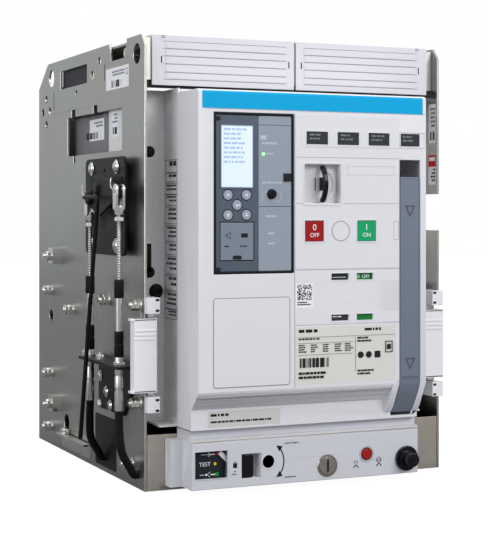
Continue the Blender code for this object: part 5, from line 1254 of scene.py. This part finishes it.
class BREAKER_OT_interlock_cables(bpy.types.Operator):
    """Each cable in one line: boots with ribs, a steel sleeve, a two-part ferrule and the black cable"""

    bl_idname = "breaker.interlock_cables"
    bl_label = "Interlock cables"

    def execute(self, context):
        bends = {"front": [(0.0, -0.001, 0.056), (0.002, -0.003, 0.036), (0.010, -0.003, 0.021)],
                 "rear": [(0.0, 0.001, 0.056), (0.002, 0.004, 0.037), (0.010, 0.006, 0.023)]}
        ends = {"front": (-0.003, 0.014), "rear": (0.007, 0.016)}
        for end, route in bends.items():
            y = ROD_Y[end]
            centre = (ROD_X, y)
            top = EDGE["interlock_cable_" + end][1, 2]
            boot = [(top, 0.0028), (top, 0.0040), (top - 0.0010, 0.0047), (top - 0.0170, 0.0047),
                    (top - 0.0180, 0.0042)]
            sleeve = [(top - 0.0175, 0.0036), (0.1525, 0.0036)]
            lower = [(0.1530, 0.0038), (0.1520, 0.0045), (0.1420, 0.0045), (0.1412, 0.0041), (0.1400, 0.0041),
                     (0.1392, 0.0047), (0.1290, 0.0047), (0.1280, 0.0043)]
            ferrule = [(0.1282, 0.0036), (0.1270, 0.0040), (0.1120, 0.0042), (0.1110, 0.0038),
                (0.1095, 0.0038), (0.1085, 0.0042), (0.0985, 0.0044), (0.0980, 0.0036), (0.0960, 0.0036),
                (0.0955, 0.0044), (0.0770, 0.0044), (0.0760, 0.0041)]
            parts = [(turned("Z", centre, profile, 28), colour) for profile,
                colour in ((boot, "boot rubber"), (sleeve, "sleeve steel"), (lower, "boot rubber"),
                    (ferrule, "sleeve steel"))]
            parts.append((hexagon("Z", centre, 0.1200, 1, 0.0100, 0.0038), "bright zinc"))
            points = np.array([(ROD_X, y, 0.078), (ROD_X, y, 0.072)]
                + [(ROD_X + inwards, y + back, z) for inwards, back, z in route]
                + [(-PLATE_OUT - 0.004, y + ends[end][0], ends[end][1]),
                    (-PLATE_OUT - 0.0003, y + ends[end][0], ends[end][1])])
            parts.append((routed(spline(points, 8), 0.0040, (0, 1, 0), 24), "cable skin"))
            make(f"interlock_cable_{end}_piece", parts, "cassette", ("interlock_cable_" + end,))
        return {"FINISHED"}


class BREAKER_OT_cable_bracket(bpy.types.Operator):
    """The bent bracket that holds both ferrules, with its screws"""

    bl_idname = "breaker.cable_bracket"
    bl_label = "Cable bracket"

    def execute(self, context):
        eased("cable_bracket", "black coat", 0.0006)
        face = -PLATE_OUT - 0.0033
        parts = []
        for place in mm((-60, 99), (-79, 85), (-57, 69), (-91, 72)):
            parts += [(washer("X", place, face, -1, 0.0058, 0.0010), "bright zinc"),
                (pan_screw("X", place, face - 0.0010, -1, 0.0046), "bright zinc")]
            parts += [(shape, "ink black") for shape in cross_slot("X", place, face - 0.0031, -1, 0.0036)]
        for y in mm(-53.5, -99):
            parts += [(shape, "bright zinc") for shape in nut_stack("Z", (-0.1815, y), 0.1200, 1, 0.0046,
                    0.0075)]
        make("cable_bracket_screws", parts, "cassette")
        return {"FINISHED"}


# ---- Breaker -------------------------------------------------------------------------------------
class BREAKER_OT_breaker_frame(bpy.types.Operator):
    """The breaker's side pressings with their holes, flange screw and label strips"""

    bl_idname = "breaker.breaker_frame"
    bl_label = "Breaker frame"

    def execute(self, context):
        eased("breaker_frame", "frame sheet", sizes().sheet_edge)
        flange = FRAME_FLANGE
        screw = mm(-139.2, 190.0)
        parts = [(turned("Y", screw, [(flange, 0.0072), (flange - 0.0006, 0.0074), (flange - 0.0016, 0.0070),
                    (flange - 0.0016, 0.0052)], 32), "ink black"), (socket_screw("Y", screw, flange - 0.0010,
                    -1, 0.0052, 0.0038), "gloss black")]
        make("frame_screw", parts, "breaker")
        # the flange's holes and slot are painted shade: black discs and a black strip
        holes = [dot(-146, z, 5.6) for z in (327.6, 208.8, 109.0)] + [rect(-148.6, -144.0, 209, 237, 0.6)]
        printed("frame_flange_holes", "Y", flange, -1, [(holes, "ink black")], "breaker")
        wall = EDGE["front_cover"][0, 0] + 0.001
        marks = []
        bands = [(307, 319, 1), (298, 306, 1), (286, 296, 2), (275, 285, 2), (257, 273, 3), (240, 255, 3),
                 (227, 238, 2), (208, 225, 3), (192, 206, 2), (174, 190, 3), (164, 173, 2)]
        for order, (z0, z1, rows) in enumerate(bands):
            marks += print_rows(-180.0, -153.0, z0 + 1.6, z1 - 1.2, rows, 30 + order, 0.5)
            marks += outline_marks(-182.5, -150.5, z0 - 0.6, z1 + 0.2, 0.5)
        # the white disc near the top is painted light, where a sight hole in the frame lets light through;
        # the rest is print
        printed("frame_label", "X", wall, -1, [([dot(-162, 370, 8.2)], "sticker"), (marks, "ink black")],
            "breaker")
        return {"FINISHED"}


def cover_strip():
    """The strip follows the cover: straight up the face, then round the top corner by sine and cosine."""
    top = EDGE["front_cover"][1, 2]
    radius = 0.004
    angle = np.linspace(0, math.radians(35), 8)
    corner = np.stack([FACE + radius - radius * np.cos(angle), top - radius + radius * np.sin(angle)], -1)
    profile = np.concatenate([[(FACE, top - 0.0180)], corner])
    return carried("X", stroke(profile, 4 * PRINT), *mm(-128.0, 110.0))


class BREAKER_OT_front_cover(bpy.types.Operator):
    """The grey cover with its raised panels and frames, seams, blue strip, foot ribs and lip line"""

    bl_idname = "breaker.front_cover"
    bl_label = "Front cover"

    def execute(self, context):
        eased("front_cover", "cover moulding", sizes().edge, 3)
        height = sizes().panel
        make("cover_strip", [(cover_strip(), "strip blue")], "breaker")
        ease = height * 0.5
        left = raised(rect(-116.3, -37.7, 103.4, 186.5, 2.5), FACE, height, ease=ease)
        openings = [rect(-21.6, 17.0, 276.2, 314.2, 1.0), rect(-21.4, -0.5, 239.6, 259.7),
            rect(35.7, 56.5, 239.6, 259.7)]
        right = raised(rect(-31.6, 83.0, 213.0, 362.0, 2.0), FACE, height, openings, ease=ease)
        lower = raised(rect(-31.6, 83.0, 101.5, 158.5, 1.0), FACE, height * 0.4)
        make("cover_panels", [(left, "panel moulding"), (right, "panel moulding"), (lower, "panel moulding")],
             "breaker")
        top = FACE - height
        tiles = [(raised(rect(-24.8, 82.6, 331.0, 348.0, 1.0), top, 0.0004), "panel moulding")]
        tiles.append((raised_rim((24.5, 76.6, 304.4, 313.5, 1.2, 0.6), top, 0.0003), "panel moulding"))
        for x0, x1, z0, z1 in ((-22.6, -0.0, 238.4, 261.0), (34.4, 57.8, 238.4, 261.0)):
            tiles.append((raised_rim((x0, x1, z0, z1, 1.6, 1.1), top, 0.0005), "panel moulding"))
        # the grey ring round the round opening is painted shade at its edge
        tiles.append((raised(arc_band(*mm(17.5, 249.7, 9.2, 9.9), 0, 360, 64), top, 0.0002), "seam grey"))
        tiles.append((raised_rim((-23.4, 18.8, 274.4, 316.0, 2.4, 1.4), top, 0.0006), "panel moulding"))
        make("cover_tiles", tiles, "breaker")
        # a thin grey outline round the left raised panel: painted shade along its edge
        outline, holes = rim(-117.0, -37.0, 102.7, 187.2, 3.2, 0.6)
        foot, rise = mm(COVER_FOOT, COVER_LIP)
        ribs = [(raised(outline, FACE, 0.0001, holes), "ink grey")]
        # the foot ribs face down, and their darker grey is painted shade
        for share in (0.15, 0.38, 0.61, 0.84):
            y, z = FACE + (LIP - FACE) * share, foot + (rise - foot) * share
            ribs.append((block(-0.1300, 0.0815, y - 0.0006, y + 0.002, z - 0.0006, z + 0.0004),
                    "recess moulding"))
        make("cover_ribs", ribs, "breaker")
        # the grey seam lines are painted shade in the gaps between the cover's panels
        seams = [rect(-32.4, -31.9, 100, 362), rect(83.2, 83.6, 100, 320), rect(-31.5, 83.0, 212.2, 212.6),
                 rect(-31.5, 83.0, 158.9, 159.3), rect(-126, 113, 364.9, 365.3)]
        printed("cover_seams", "Y", FACE, -1, [(seams, "seam grey")], "breaker")
        # these grey lines are painted shade in the seams of the raised panels
        lines = [rect(-31.0, -24.4, 276.2, 276.6), rect(19.8, 82.6, 276.2, 276.6),
            rect(-31.0, 82.6, 320.6, 321.0)]
        lines += outline_marks(76.6, 81.9, 240.7, 259, 0.4) + outline_marks(24.5, 76.6, 304.4, 313.5, 0.4)
        printed("panel_seams", "Y", top, -1, [(lines, "seam grey")], "breaker")
        printed("lip_line", "Y", LIP, -1, [([rect(-131, 115, 50.8, 51.6)], "ink cream")], "cassette")
        return {"FINISHED"}


class BREAKER_OT_cover_windows(bpy.types.Operator):
    """Smoked windows of the cover: the row at the top and the two flag rows"""

    bl_idname = "breaker.cover_windows"
    bl_label = "Cover windows"

    def execute(self, context):
        top = FACE - sizes().panel - 0.0004
        parts, marks = [], []
        for order, (x0, x1) in enumerate(((-20, 3.2), (13.7, 37.3), (48, 71.4))):
            parts.append((raised_rim((x0 - 0.8, x1 + 0.8, 332.6, 346.6, 1.0, 0.8), top, 0.0003),
                    "panel moulding"))
            parts.append((raised(rect(x0, x1, 333.4, 345.8, 0.5), top, 0.0001), "window smoke"))
            marks += print_rows(x0 + 3.5, x1 - 3.5, 336, 343.6, 2, 50 + order, 0.45)
        plate = FACE
        parts.append((raised_rim((83.6, 112.4, 331.6, 347.6, 1.0, 0.9), plate, 0.0006), "panel moulding"))
        parts.append((raised(rect(84.6, 106.1, 333.4, 345.8, 0.5), plate, 0.0003), "window smoke"))
        for low in (201.0, 161.0):
            spans = ((7.5, 26.4), (35.3, 53.3))
            holes = [rect(x0, x1, low + 0.9, low + 7.8) for x0, x1 in spans]
            parts.append((raised(rect(-31.6, 82.8, low - 0.6, low + 9.2, 0.6), plate, 0.0001, holes),
                    "panel moulding"))
            for x0, x1 in spans:
                parts.append((raised_rim((x0 - 1.1, x1 + 1.1, low + 0.2, low + 8.4, 0.6, 0.9), plate, 0.0004),
                        "panel moulding"))
        make("cover_windows", parts, "breaker")
        printed("window_print", "Y", top - 0.0001, -1, [(marks, "ink grey")], "breaker")
        printed("window_print_right", "Y", plate - 0.0003, -1,
                [(print_rows(87, 104, 336, 343.6, 2, 54, 0.45), "ink grey")], "breaker")
        back = FACE + 0.0022
        films = [([rect(7.5, 26.4, 202, 208.6), rect(7.5, 26.4, 162.4, 169)], "window smoke"),
                 ([rect(35.3, 53.3, 162.4, 169)], "flag green")]
        films.append((print_rows(10, 20, 164.6, 167.0, 1, 60, 0.5) + [rect(10, 24, 204.4, 204.8)],
                "ink white"))
        printed("window_plates", "Y", back, -1, films, "breaker")
        return {"FINISHED"}


class BREAKER_OT_cover_plates(bpy.types.Operator):
    """The rating plate, the stickers and the lip's plate, with print that stands for no real text"""

    bl_idname = "breaker.cover_plates"
    bl_label = "Cover plates"

    def execute(self, context):
        face = FACE - sizes().panel * 0.4
        draw = [(print_rows(-28, 0, 149, 155, 1, 70, 0.5), "ink black"),
            (print_rows(-28, -4, 143.6, 146.6, 1, 71), "ink black"),
            (print_rows(44, 76, 149.6, 154.6, 1, 72, 0.5), "ink black"),
            ([rect(-29, 78, 147.3, 147.6), rect(-29, 31, 141.6, 141.9), rect(-29, 31, 130.4, 130.7),
                    rect(33.5, 33.8, 112, 146)], "ink grey"), (sum([print_rows(x, x + 9, 132, 140.4, 4, 73
                    + n, 0.5) for n, x in enumerate((-28, -15, -2, 11, 22))], []), "ink black"),
            (print_rows(36, 52, 140, 146, 2, 80) + print_rows(36, 55, 108, 114, 2, 81)
                + [dot(39.5, 128.5, 3.2), dot(48.5, 128.5, 3.2), rect(55.0, 61.4, 125.3, 131.7, 0.8)],
                "ink black"), (print_bars(-28, 4, 118.4, 127.4, 22, 82), "ink black"),
            (print_rows(-28, 10, 106, 114, 2, 83), "ink black"), (outline_marks(67, 75, 130, 141, 0.6)
                + [rect(69, 73, 133, 138)], "ink black")]
        label("rating_plate", "Y", face, -1, (-31.4, 78.8, 102.4, 157.2), draw, "breaker", "plate film")
        draw = [(cells(-29.6, -13.4, 183.4, 198.4, 19, 90), "ink black"),
                (print_rows(-29.4, -13.6, 177.6, 181.8, 2, 91), "ink black")]
        label("code_sticker", "Y", FACE, -1, (-31.0, -12.0, 176.0, 199.6), draw, "breaker")
        draw = [(print_rows(-112, -86, 71.6, 76.4, 1, 92, 0.5), "ink black"),
                (print_rows(-112, -48, 66.0, 69.6, 1, 93, 0.5), "ink black")]
        label("lip_plate", "Y", LIP, -1, (-115, -39, 63.6, 79.0), draw, "breaker", "lip film")
        return {"FINISHED"}


class BREAKER_OT_padlock_hasp(bpy.types.Operator):
    """The bowed black hasp and the ribbed floor of its recess"""

    bl_idname = "breaker.padlock_hasp"
    bl_label = "Padlock hasp"

    def execute(self, context):
        (x0, y0, z0), (x1, y1, z1) = EDGE["padlock_hasp"]
        half, bow, thick = (z1 - z0) / 2, 0.0086, 0.0034
        reach = (half ** 2 + bow ** 2) / (2 * bow)
        spread_of = math.degrees(math.asin(half / reach))
        leaf = arc_band(y0 + reach, z0 + half, reach - thick, reach, 180 - spread_of, 180 + spread_of, 28)
        middle = z0 + half
        stem = block(x0 + 0.0042, x1 - 0.0042, y0 + thick * 0.6, y1, middle - 0.0065, middle + 0.0065)
        root = block(x0 + 0.0008, x1 - 0.0008, FACE + 0.0075, y1 - 0.0010, middle - 0.0066, middle + 0.0066)
        parts = [(carried("X", leaf, x0 + 0.0030, x1 - 0.0030), "gloss black"), (stem, "gloss black"),
                 (root, "panel moulding")]
        make("padlock_hasp_piece", parts, "hasp", ("padlock_hasp",), 0.0006, 3)
        floor = FACE + 0.008
        ribs = [(raised(rect(x0, x1, z, z + 0.9, 0.3), floor, 0.0008), "panel moulding")
                for x0, x1 in ((-20.8, -7.0), (5.4, 16.2)) for z in np.arange(278.4, 312.0, 1.9)]
        for step in range(3):
            reach = 17.5 - 1.4 * step
            arc = arc_band(*mm(-2.0, 295.2, reach, reach + 0.9), -62, 62, 24)
            ribs.append((raised(np.clip(arc, *mm((-2, 277), (16.4, 313.4))), floor, 0.0010 + 0.0004 * step),
                    "panel moulding"))
        make("lock_recess_ribs", ribs, "breaker")
        return {"FINISHED"}


class BREAKER_OT_buttons(bpy.types.Operator):
    """The red and green push buttons with their signs, and the green contact flag"""

    bl_idname = "breaker.buttons"
    bl_label = "Push buttons"

    def execute(self, context):
        for node, colour, slot, body, sign, word in (("off_button", "off red", "red", "off_push", "0", "OFF"),
                ("on_button", "on green", "green", "on_push", "I", "ON")):
            eased(node, colour, 0.0007, 3)
            (x0, y0, z0), (x1, _, _) = EDGE[node]
            x = (x0 + x1) / 2
            lettering(node + "_sign", sign, (x, y0, z0 + 0.0136), 0.0062, "Y", -1, "ink white", body)
            lettering(node + "_word", word, (x, y0, z0 + 0.0060), 0.0042, "Y", -1, "ink white", body)
        eased("contact_flag", "flag green", 0.0002)
        face = EDGE["contact_flag"][0, 1]
        lettering("contact_flag_word", "0  OFF", (0.0444, face, 0.2052), 0.0036, "Y", -1, "ink white", "flag")
        return {"FINISHED"}


class BREAKER_OT_charging_lever(bpy.types.Operator):
    """The charging lever: a flat bar whose foot sweeps back, with direction marks and grip grooves"""

    bl_idname = "breaker.charging_lever"
    bl_label = "Charging lever"

    def execute(self, context):
        (x0, y0, z0), (x1, _, z1) = EDGE["charging_lever"]
        foot = LEVER_FOOT
        share = np.linspace(0, 1, 15)
        front = np.stack([y0 + (LIP - FACE) * share ** 1.35, foot - (foot - z0) * share], -1)
        along = np.gradient(front, axis=0)
        along /= np.linalg.norm(along, axis=1, keepdims=True)
        thick, thin = 0.0090, 0.0056
        rear = front + np.stack([-along[:, 1], along[:, 0]], -1) * np.linspace(thick, thin, 15)[:, None]
        outline = np.concatenate([[(y0, z1)], front, rear[::-1], [(y0 + thick, z1)]])
        bar = carried("X", outline, x0, x1)
        make("charging_lever_bar", [(bar, "lever moulding")], "lever", ("charging_lever",),
            0.0011, 3)
        parts = []
        for high, low in ((274.7, 263.0), (123.0, 111.5)):
            triangle = [(89.6, high), (101.4, high), (95.5, low)]
            inner = [(91.9, high - 1.3), (99.1, high - 1.3), (95.5, low + 2.6)]
            parts.append((raised(np.array(triangle) * MM, y0, 0.0003, [np.array(inner) * MM]), "lever mark"))
        parts.append((raised_rim((x0 / MM + 0.3, x1 / MM - 0.3, 101.0, z1 / MM - 0.4, 1.0, 0.9), y0, 0.00035),
                "lever moulding"))
        # the grip grooves are painted shade: thin dark strips across the lever
        for z in (104.4, 102.4):
            parts.append((raised(rect(x0 / MM + 2, x1 / MM - 2, z - 0.35, z + 0.35, 0.3), y0, 0.0003),
                    "lever mark"))
        make("charging_lever_marks", parts, "lever")
        return {"FINISHED"}


class BREAKER_OT_trip_unit(bpy.types.Operator):
    """The trip unit: dark frame, two-tone panel, lit display and their print"""

    bl_idname = "breaker.trip_unit"
    bl_label = "Trip unit"

    def execute(self, context):
        eased("trip_unit", "bezel moulding", 0.0005)
        face = UNIT_FACE
        border = (raised_rim((-116.0, -33.0, 209.8, 361.7, 2.2, 2.0), face, 0.0013), "black moulding")
        holes = [rect(-109.8, -74.2, 221.8, 258.9)] + [dot(*place, 5.6) for place in
                 ((-101.4, 284.1), (-82.4, 284.2), (-92.0, 274.6), (-101.4, 265.2), (-82.4, 265.4))]
        dark = (raised(rect(-113.6, -70.2, 212.2, 359.4, 1.2), face, 0.0004, holes, ease=0.00015),
            "unit dark")
        pale = (raised(rect(-69.8, -35.4, 212.2, 359.4, 1.2), face, 0.0004, [dot(-56.0, 285.2, 4.8)],
                ease=0.00015), "unit pale")
        make("trip_unit_panels", [border, dark, pale], "breaker")
        top = face - 0.0004
        details = [(raised_rim((-110.2, -74.1, 289.6, 351.6, 2.0, 1.6), top, 0.0006), "unit dark"),
            (raised_rim((-109.0, -75.3, 290.8, 350.4, 1.0, 1.0), top, 0.0004), "screen rim"),
            (raised(rect(-108.2, -76.1, 291.6, 349.6, 0.4), top, 0.0002), "screen")]
        for x0, x1, z0, z1 in ((-115.6, -109.6, 354.2, 357.8), (-115.6, -109.6, 212.4, 216.0),
                (-43.6, -35.6, 297.4, 305.0)):
            details.append((raised(rect(x0, x1, z0, z1, 0.4), top, 0.0012), "ink black"))
        details.append((raised(rect(-69.6, -35.6, 350.6, 351.2), top, 0.0001), "unit dark"))
        details.append((raised(rect(-69.6, -35.6, 273.2, 273.7), top, 0.00008), "bezel moulding"))
        make("trip_unit_details", details, "breaker")
        screen = top - 0.0002
        lines = print_rows(-106, -80, 312, 347, 8, 101, 0.42)
        printed("screen_print", "Y", screen, -1, [(lines, "screen ink")], "breaker")
        marks = [([rect(-68.2, -61.6, 337.0, 341.0, 0.4)] + print_rows(-66, -46, 331, 334.5, 1, 102)
                + print_rows(-61.6, -50, 321.6, 324.4, 1, 103) + print_rows(-66, -44, 294, 297, 1, 104)
                + [rect(-66, -60.4, 286.8, 287.4), rect(-66, -65.4, 278, 287), rect(-52, -46, 278, 278.6),
                    rect(-46.6, -46, 278, 287)] + print_rows(-62, -46, 262, 265, 1, 105)
                + print_rows(-60, -48, 245.6, 248.6, 1, 106) + print_rows(-60, -50, 236, 239, 1, 107),
                "ink pale"), ([dot(-64.8, 323.1, 1.6)], "lit green")]
        printed("trip_unit_print", "Y", top, -1, marks, "breaker")
        return {"FINISHED"}


class BREAKER_OT_trip_keys(bpy.types.Operator):
    """Domed keys with arrows, the reset knob and the hinged flap with its finger notch"""

    bl_idname = "breaker.trip_keys"
    bl_label = "Keys, knob and flap"

    def execute(self, context):
        signs = {"left": [(1.8, 0), (-1.8, 0)], "right": [(-1.8, 0), (1.8, 0)], "up": [(0, -1.8), (0, 1.8)],
                 "down": [(0, 1.8), (0, -1.8)], "enter": [(1.8, 1.4), (1.8, -0.4), (-1.8, -0.4)]}
        for word, route in signs.items():
            node = "key_" + word
            eased(node, "key moulding", 0.0006, 3, 60.0)
            low, high = EDGE[node]
            x, z, y = (low[0] + high[0]) / 2 / MM, (low[2] + high[2]) / 2 / MM, low[1]
            tip, tail = np.array(route[-1], float), np.array(route[-2], float)
            along = (tip - tail) / np.linalg.norm(tip - tail)
            side = np.array([-along[1], along[0]])
            head = [tip - along * 1.5 + side * 1.3, tip, tip - along * 1.5 - side * 1.3]
            body = word + "_key"
            outlines = [line(np.array(route) + (x, z), 0.9), line(np.array(head) + (x, z), 0.9)]
            printed(node + "_sign", "Y", y, -1, [(outlines, "ink white")], body)
        low, high = EDGE["reset_knob"]
        centre = ((low[0] + high[0]) / 2, (low[2] + high[2]) / 2)
        knob = turned("Y", centre, [(high[1], 0.0030), (low[1] + 0.0036, 0.0042), (low[1] + 0.0004, 0.0042),
                (low[1], 0.0038)], 40)
        bar = carried("Y", box_outline(centre[0] - 0.0007, centre[0] + 0.0007, centre[1] - 0.0036, centre[1]
                + 0.0036, 0.0005), low[1], low[1] - 0.0008)
        make("reset_knob_piece", [(knob, "gloss black"), (bar, "gloss black")], "knob",
             ("reset_knob",), 0.0002)
        eased("trip_unit_flap", "flap moulding", 0.0006, 3)
        (x0, y0, z0), (x1, y1, z1) = EDGE["trip_unit_flap"]
        # the finger notch is painted shade: a raised black pad
        notch = raised(rect(-96.5, -87.5, 223.4, 227.0, 1.4), y0, 0.0006)
        icons = [(line([(-104, 246), (-99, 249), (-99, 243), (-104, 246)], 0.8)),
            (rect(-88, -81, 244, 248, 0.5))]
        make("flap_notch", [(notch, "ink black")], "flap", (), 0.0002)
        printed("flap_print", "Y", y0, -1, [(icons + print_rows(-105, -98, 234, 236.5, 1, 110)
                    + print_rows(-89, -80, 234, 236.5, 1, 111), "ink black")], "flap")
        return {"FINISHED"}


class BREAKER_OT_poles(bpy.types.Operator):
    """Pole housing, arc chutes with their slots, the mechanism and the contact shaft"""

    bl_idname = "breaker.poles"
    bl_label = "Poles and mechanism"

    def execute(self, context):
        eased("pole_housing", "pole moulding", 0.0010)
        eased("arc_chute_bank", "chute moulding", 0.0008)
        eased("operating_mechanism", "bright zinc", 0.0005)
        eased("contact_shaft", "sleeve steel", 0.0006)
        low, high = EDGE["arc_chute_bank"]
        # the vents are painted shade: black slots across the chutes' top
        vents = []
        for middle in (-0.095, 0.0, 0.095):
            for y in np.linspace(low[1] + 0.020, high[1] - 0.020, 9):
                vents.append(box_outline(middle - 0.019, middle + 0.019, y - 0.0022, y + 0.0022, 0.001))
        printed("chute_vents", "Z", high[2], 1, [(vents, "ink black")], "breaker")
        y = EDGE["pole_housing"][1, 1]
        ribs = [(raised(rect(x - 1.5, x + 1.5, 205, 365, 1.0), y, 0.003, (), "Y", 1), "pole moulding")
                for x in POLE_GAPS]
        make("pole_ribs", ribs, "breaker", (), 0.0006)
        aux_x = EDGE["pole_housing"][0, 0]
        marks = [(print_rows(-22, 8, 358, 365, 2, 120), "ink grey"),
                 (print_bars(-18, 36, 347, 354, 14, 121), "ink black")]
        label("aux_sticker", "X", aux_x, -1, (-27, 22, 345, 368), marks, "breaker")
        wall = EDGE["breaker_frame"][0, 0]
        marks = [(print_rows(-88, -71, 358, 369, 3, 122), "ink grey"),
            (print_bars(-87, -72, 348, 355, 7, 123), "ink black")]
        label("frame_sticker", "X", wall, -1, (-90, -69, 345, 372), marks, "breaker")
        return {"FINISHED"}


# ---- Studio --------------------------------------------------------------------------------------
def studio_light(name, place, target, size, power):
    """A rectangular soft light that looks at a point."""
    light = bpy.data.lights.new(name, "AREA")
    light.shape = "RECTANGLE"
    light.size, light.size_y = size
    light.energy = power
    lamp = bpy.data.objects.new(name, light)
    bpy.context.scene.collection.objects.link(lamp)
    lamp.location = place
    lamp.rotation_euler = (Vector(target) - Vector(place)).to_track_quat("-Z", "Y").to_euler()
    return lamp


class BREAKER_OT_studio(bpy.types.Operator):
    """A pale floor, soft lights and the camera"""

    bl_idname = "breaker.studio"
    bl_label = "Studio"

    def execute(self, context):
        studio = context.scene.breaker_studio
        points, faces = carried("Z", box_outline(-6.0, 6.0, -6.0, 6.0), -0.012, -0.002)
        mesh = bpy.data.meshes.new("studio_floor")
        mesh.from_pydata(points, [], faces)
        mesh.materials.append(floor_paper())
        floor = bpy.data.objects.new("studio_floor", mesh)
        context.scene.collection.objects.link(floor)
        work = bmesh.new()
        work.from_mesh(mesh)
        bmesh.ops.recalc_face_normals(work, faces=work.faces)
        work.to_mesh(mesh)
        work.free()
        studio_light("key", (0.9, -2.3, 1.5), (0.0, 0.0, 0.25), (1.6, 1.2), studio.key)
        studio_light("fill", (-2.6, -0.9, 0.9), (0.0, 0.0, 0.25), (1.4, 1.6), studio.key * 0.6)
        studio_light("top", (0.0, 0.1, 2.4), (0.0, 0.0, 0.2), (2.0, 2.0), studio.key * 0.7)
        world = bpy.data.worlds.new("studio_sky")
        world.use_nodes = True
        tree = world.node_tree
        around = tree.nodes["Background"]
        around.inputs["Color"].default_value = (0.92, 0.95, 1.0, 1.0)
        around.inputs["Strength"].default_value = studio.sky
        seen = add(tree, "ShaderNodeBackground", {"Color": (1.0, 1.0, 1.0, 1.0), "Strength": 1.0})
        mix = add(tree, "ShaderNodeMixShader", {0: add(tree, "ShaderNodeLightPath").outputs["Is Camera Ray"],
                1: around.outputs[0], 2: seen.outputs[0]})
        tree.links.new(mix.outputs[0], tree.nodes["World Output"].inputs["Surface"])
        context.scene.world = world
        context.scene.view_settings.view_transform = "Standard"
        lens = bpy.data.cameras.new("studio_camera")
        lens.lens = studio.lens
        lens.shift_y = studio.rise
        lens.clip_end = 50.0
        camera = bpy.data.objects.new("studio_camera", lens)
        context.scene.collection.objects.link(camera)
        camera.location = studio.camera
        camera.rotation_euler = (math.pi / 2, 0.0, studio.turn)
        context.scene.camera = camera
        return {"FINISHED"}


def floor_paper():
    """Paper that the camera sees as white, and that throws back less light than white paper would."""
    material, tree, shader, place = begin("floor paper", Roughness=0.9, Specular_IOR_Level=0.0)
    fibre = grouped(tree, "Moulding grain", {"Vector": place, "Scale": 300.0, "Mottle": 0.01})
    tree.links.new(scaled_colour(tree, linear((140, 140, 142)), fibre.outputs["Tone"]),
        shader.inputs["Base Color"])
    shader.inputs["Emission Color"].default_value = linear((250, 250, 250))
    seen = add(tree, "ShaderNodeLightPath").outputs["Is Camera Ray"]
    tree.links.new(seen, shader.inputs["Emission Strength"])
    return material


# ---- Panel, registration and the run -------------------------------------------------------------
PIECES = (BREAKER_OT_side_plates, BREAKER_OT_plate_fixings, BREAKER_OT_louvres, BREAKER_OT_top_channel,
    BREAKER_OT_base_and_rear, BREAKER_OT_terminals, BREAKER_OT_rails, BREAKER_OT_racking,
    BREAKER_OT_interlock_plate, BREAKER_OT_interlock_rods, BREAKER_OT_interlock_cables,
    BREAKER_OT_cable_bracket, BREAKER_OT_breaker_frame, BREAKER_OT_front_cover, BREAKER_OT_cover_windows,
    BREAKER_OT_cover_plates, BREAKER_OT_padlock_hasp, BREAKER_OT_buttons, BREAKER_OT_charging_lever,
    BREAKER_OT_trip_unit, BREAKER_OT_trip_keys, BREAKER_OT_poles, BREAKER_OT_studio)


class BREAKER_PT_pieces(bpy.types.Panel):
    """Every piece, with the colours, sizes and studio settings above them"""

    bl_idname = "BREAKER_PT_pieces"
    bl_label = "Breaker"
    bl_space_type = "VIEW_3D"
    bl_region_type = "UI"
    bl_category = "Breaker"

    def draw(self, context):
        for settings in (context.scene.breaker_finishes, context.scene.breaker_sizes,
                context.scene.breaker_studio):
            column = self.layout.column(align=True)
            for name in type(settings).__annotations__:
                column.prop(settings, name)
        column = self.layout.column(align=True)
        for piece in PIECES:
            column.operator(piece.bl_idname)


CLASSES = (BreakerFinishes, BreakerSizes, BreakerStudio, *PIECES, BREAKER_PT_pieces)


def register():
    for item in CLASSES:
        bpy.utils.register_class(item)
    bpy.types.Scene.breaker_finishes = bpy.props.PointerProperty(type=BreakerFinishes)
    bpy.types.Scene.breaker_sizes = bpy.props.PointerProperty(type=BreakerSizes)
    bpy.types.Scene.breaker_studio = bpy.props.PointerProperty(type=BreakerStudio)


def unregister():
    del bpy.types.Scene.breaker_finishes
    del bpy.types.Scene.breaker_sizes
    del bpy.types.Scene.breaker_studio
    for item in reversed(CLASSES):
        bpy.utils.unregister_class(item)


def main():
    register()
    for piece in PIECES:
        group, name = piece.bl_idname.split(".")
        getattr(getattr(bpy.ops, group), name)()


if __name__ == "__main__":
    main()
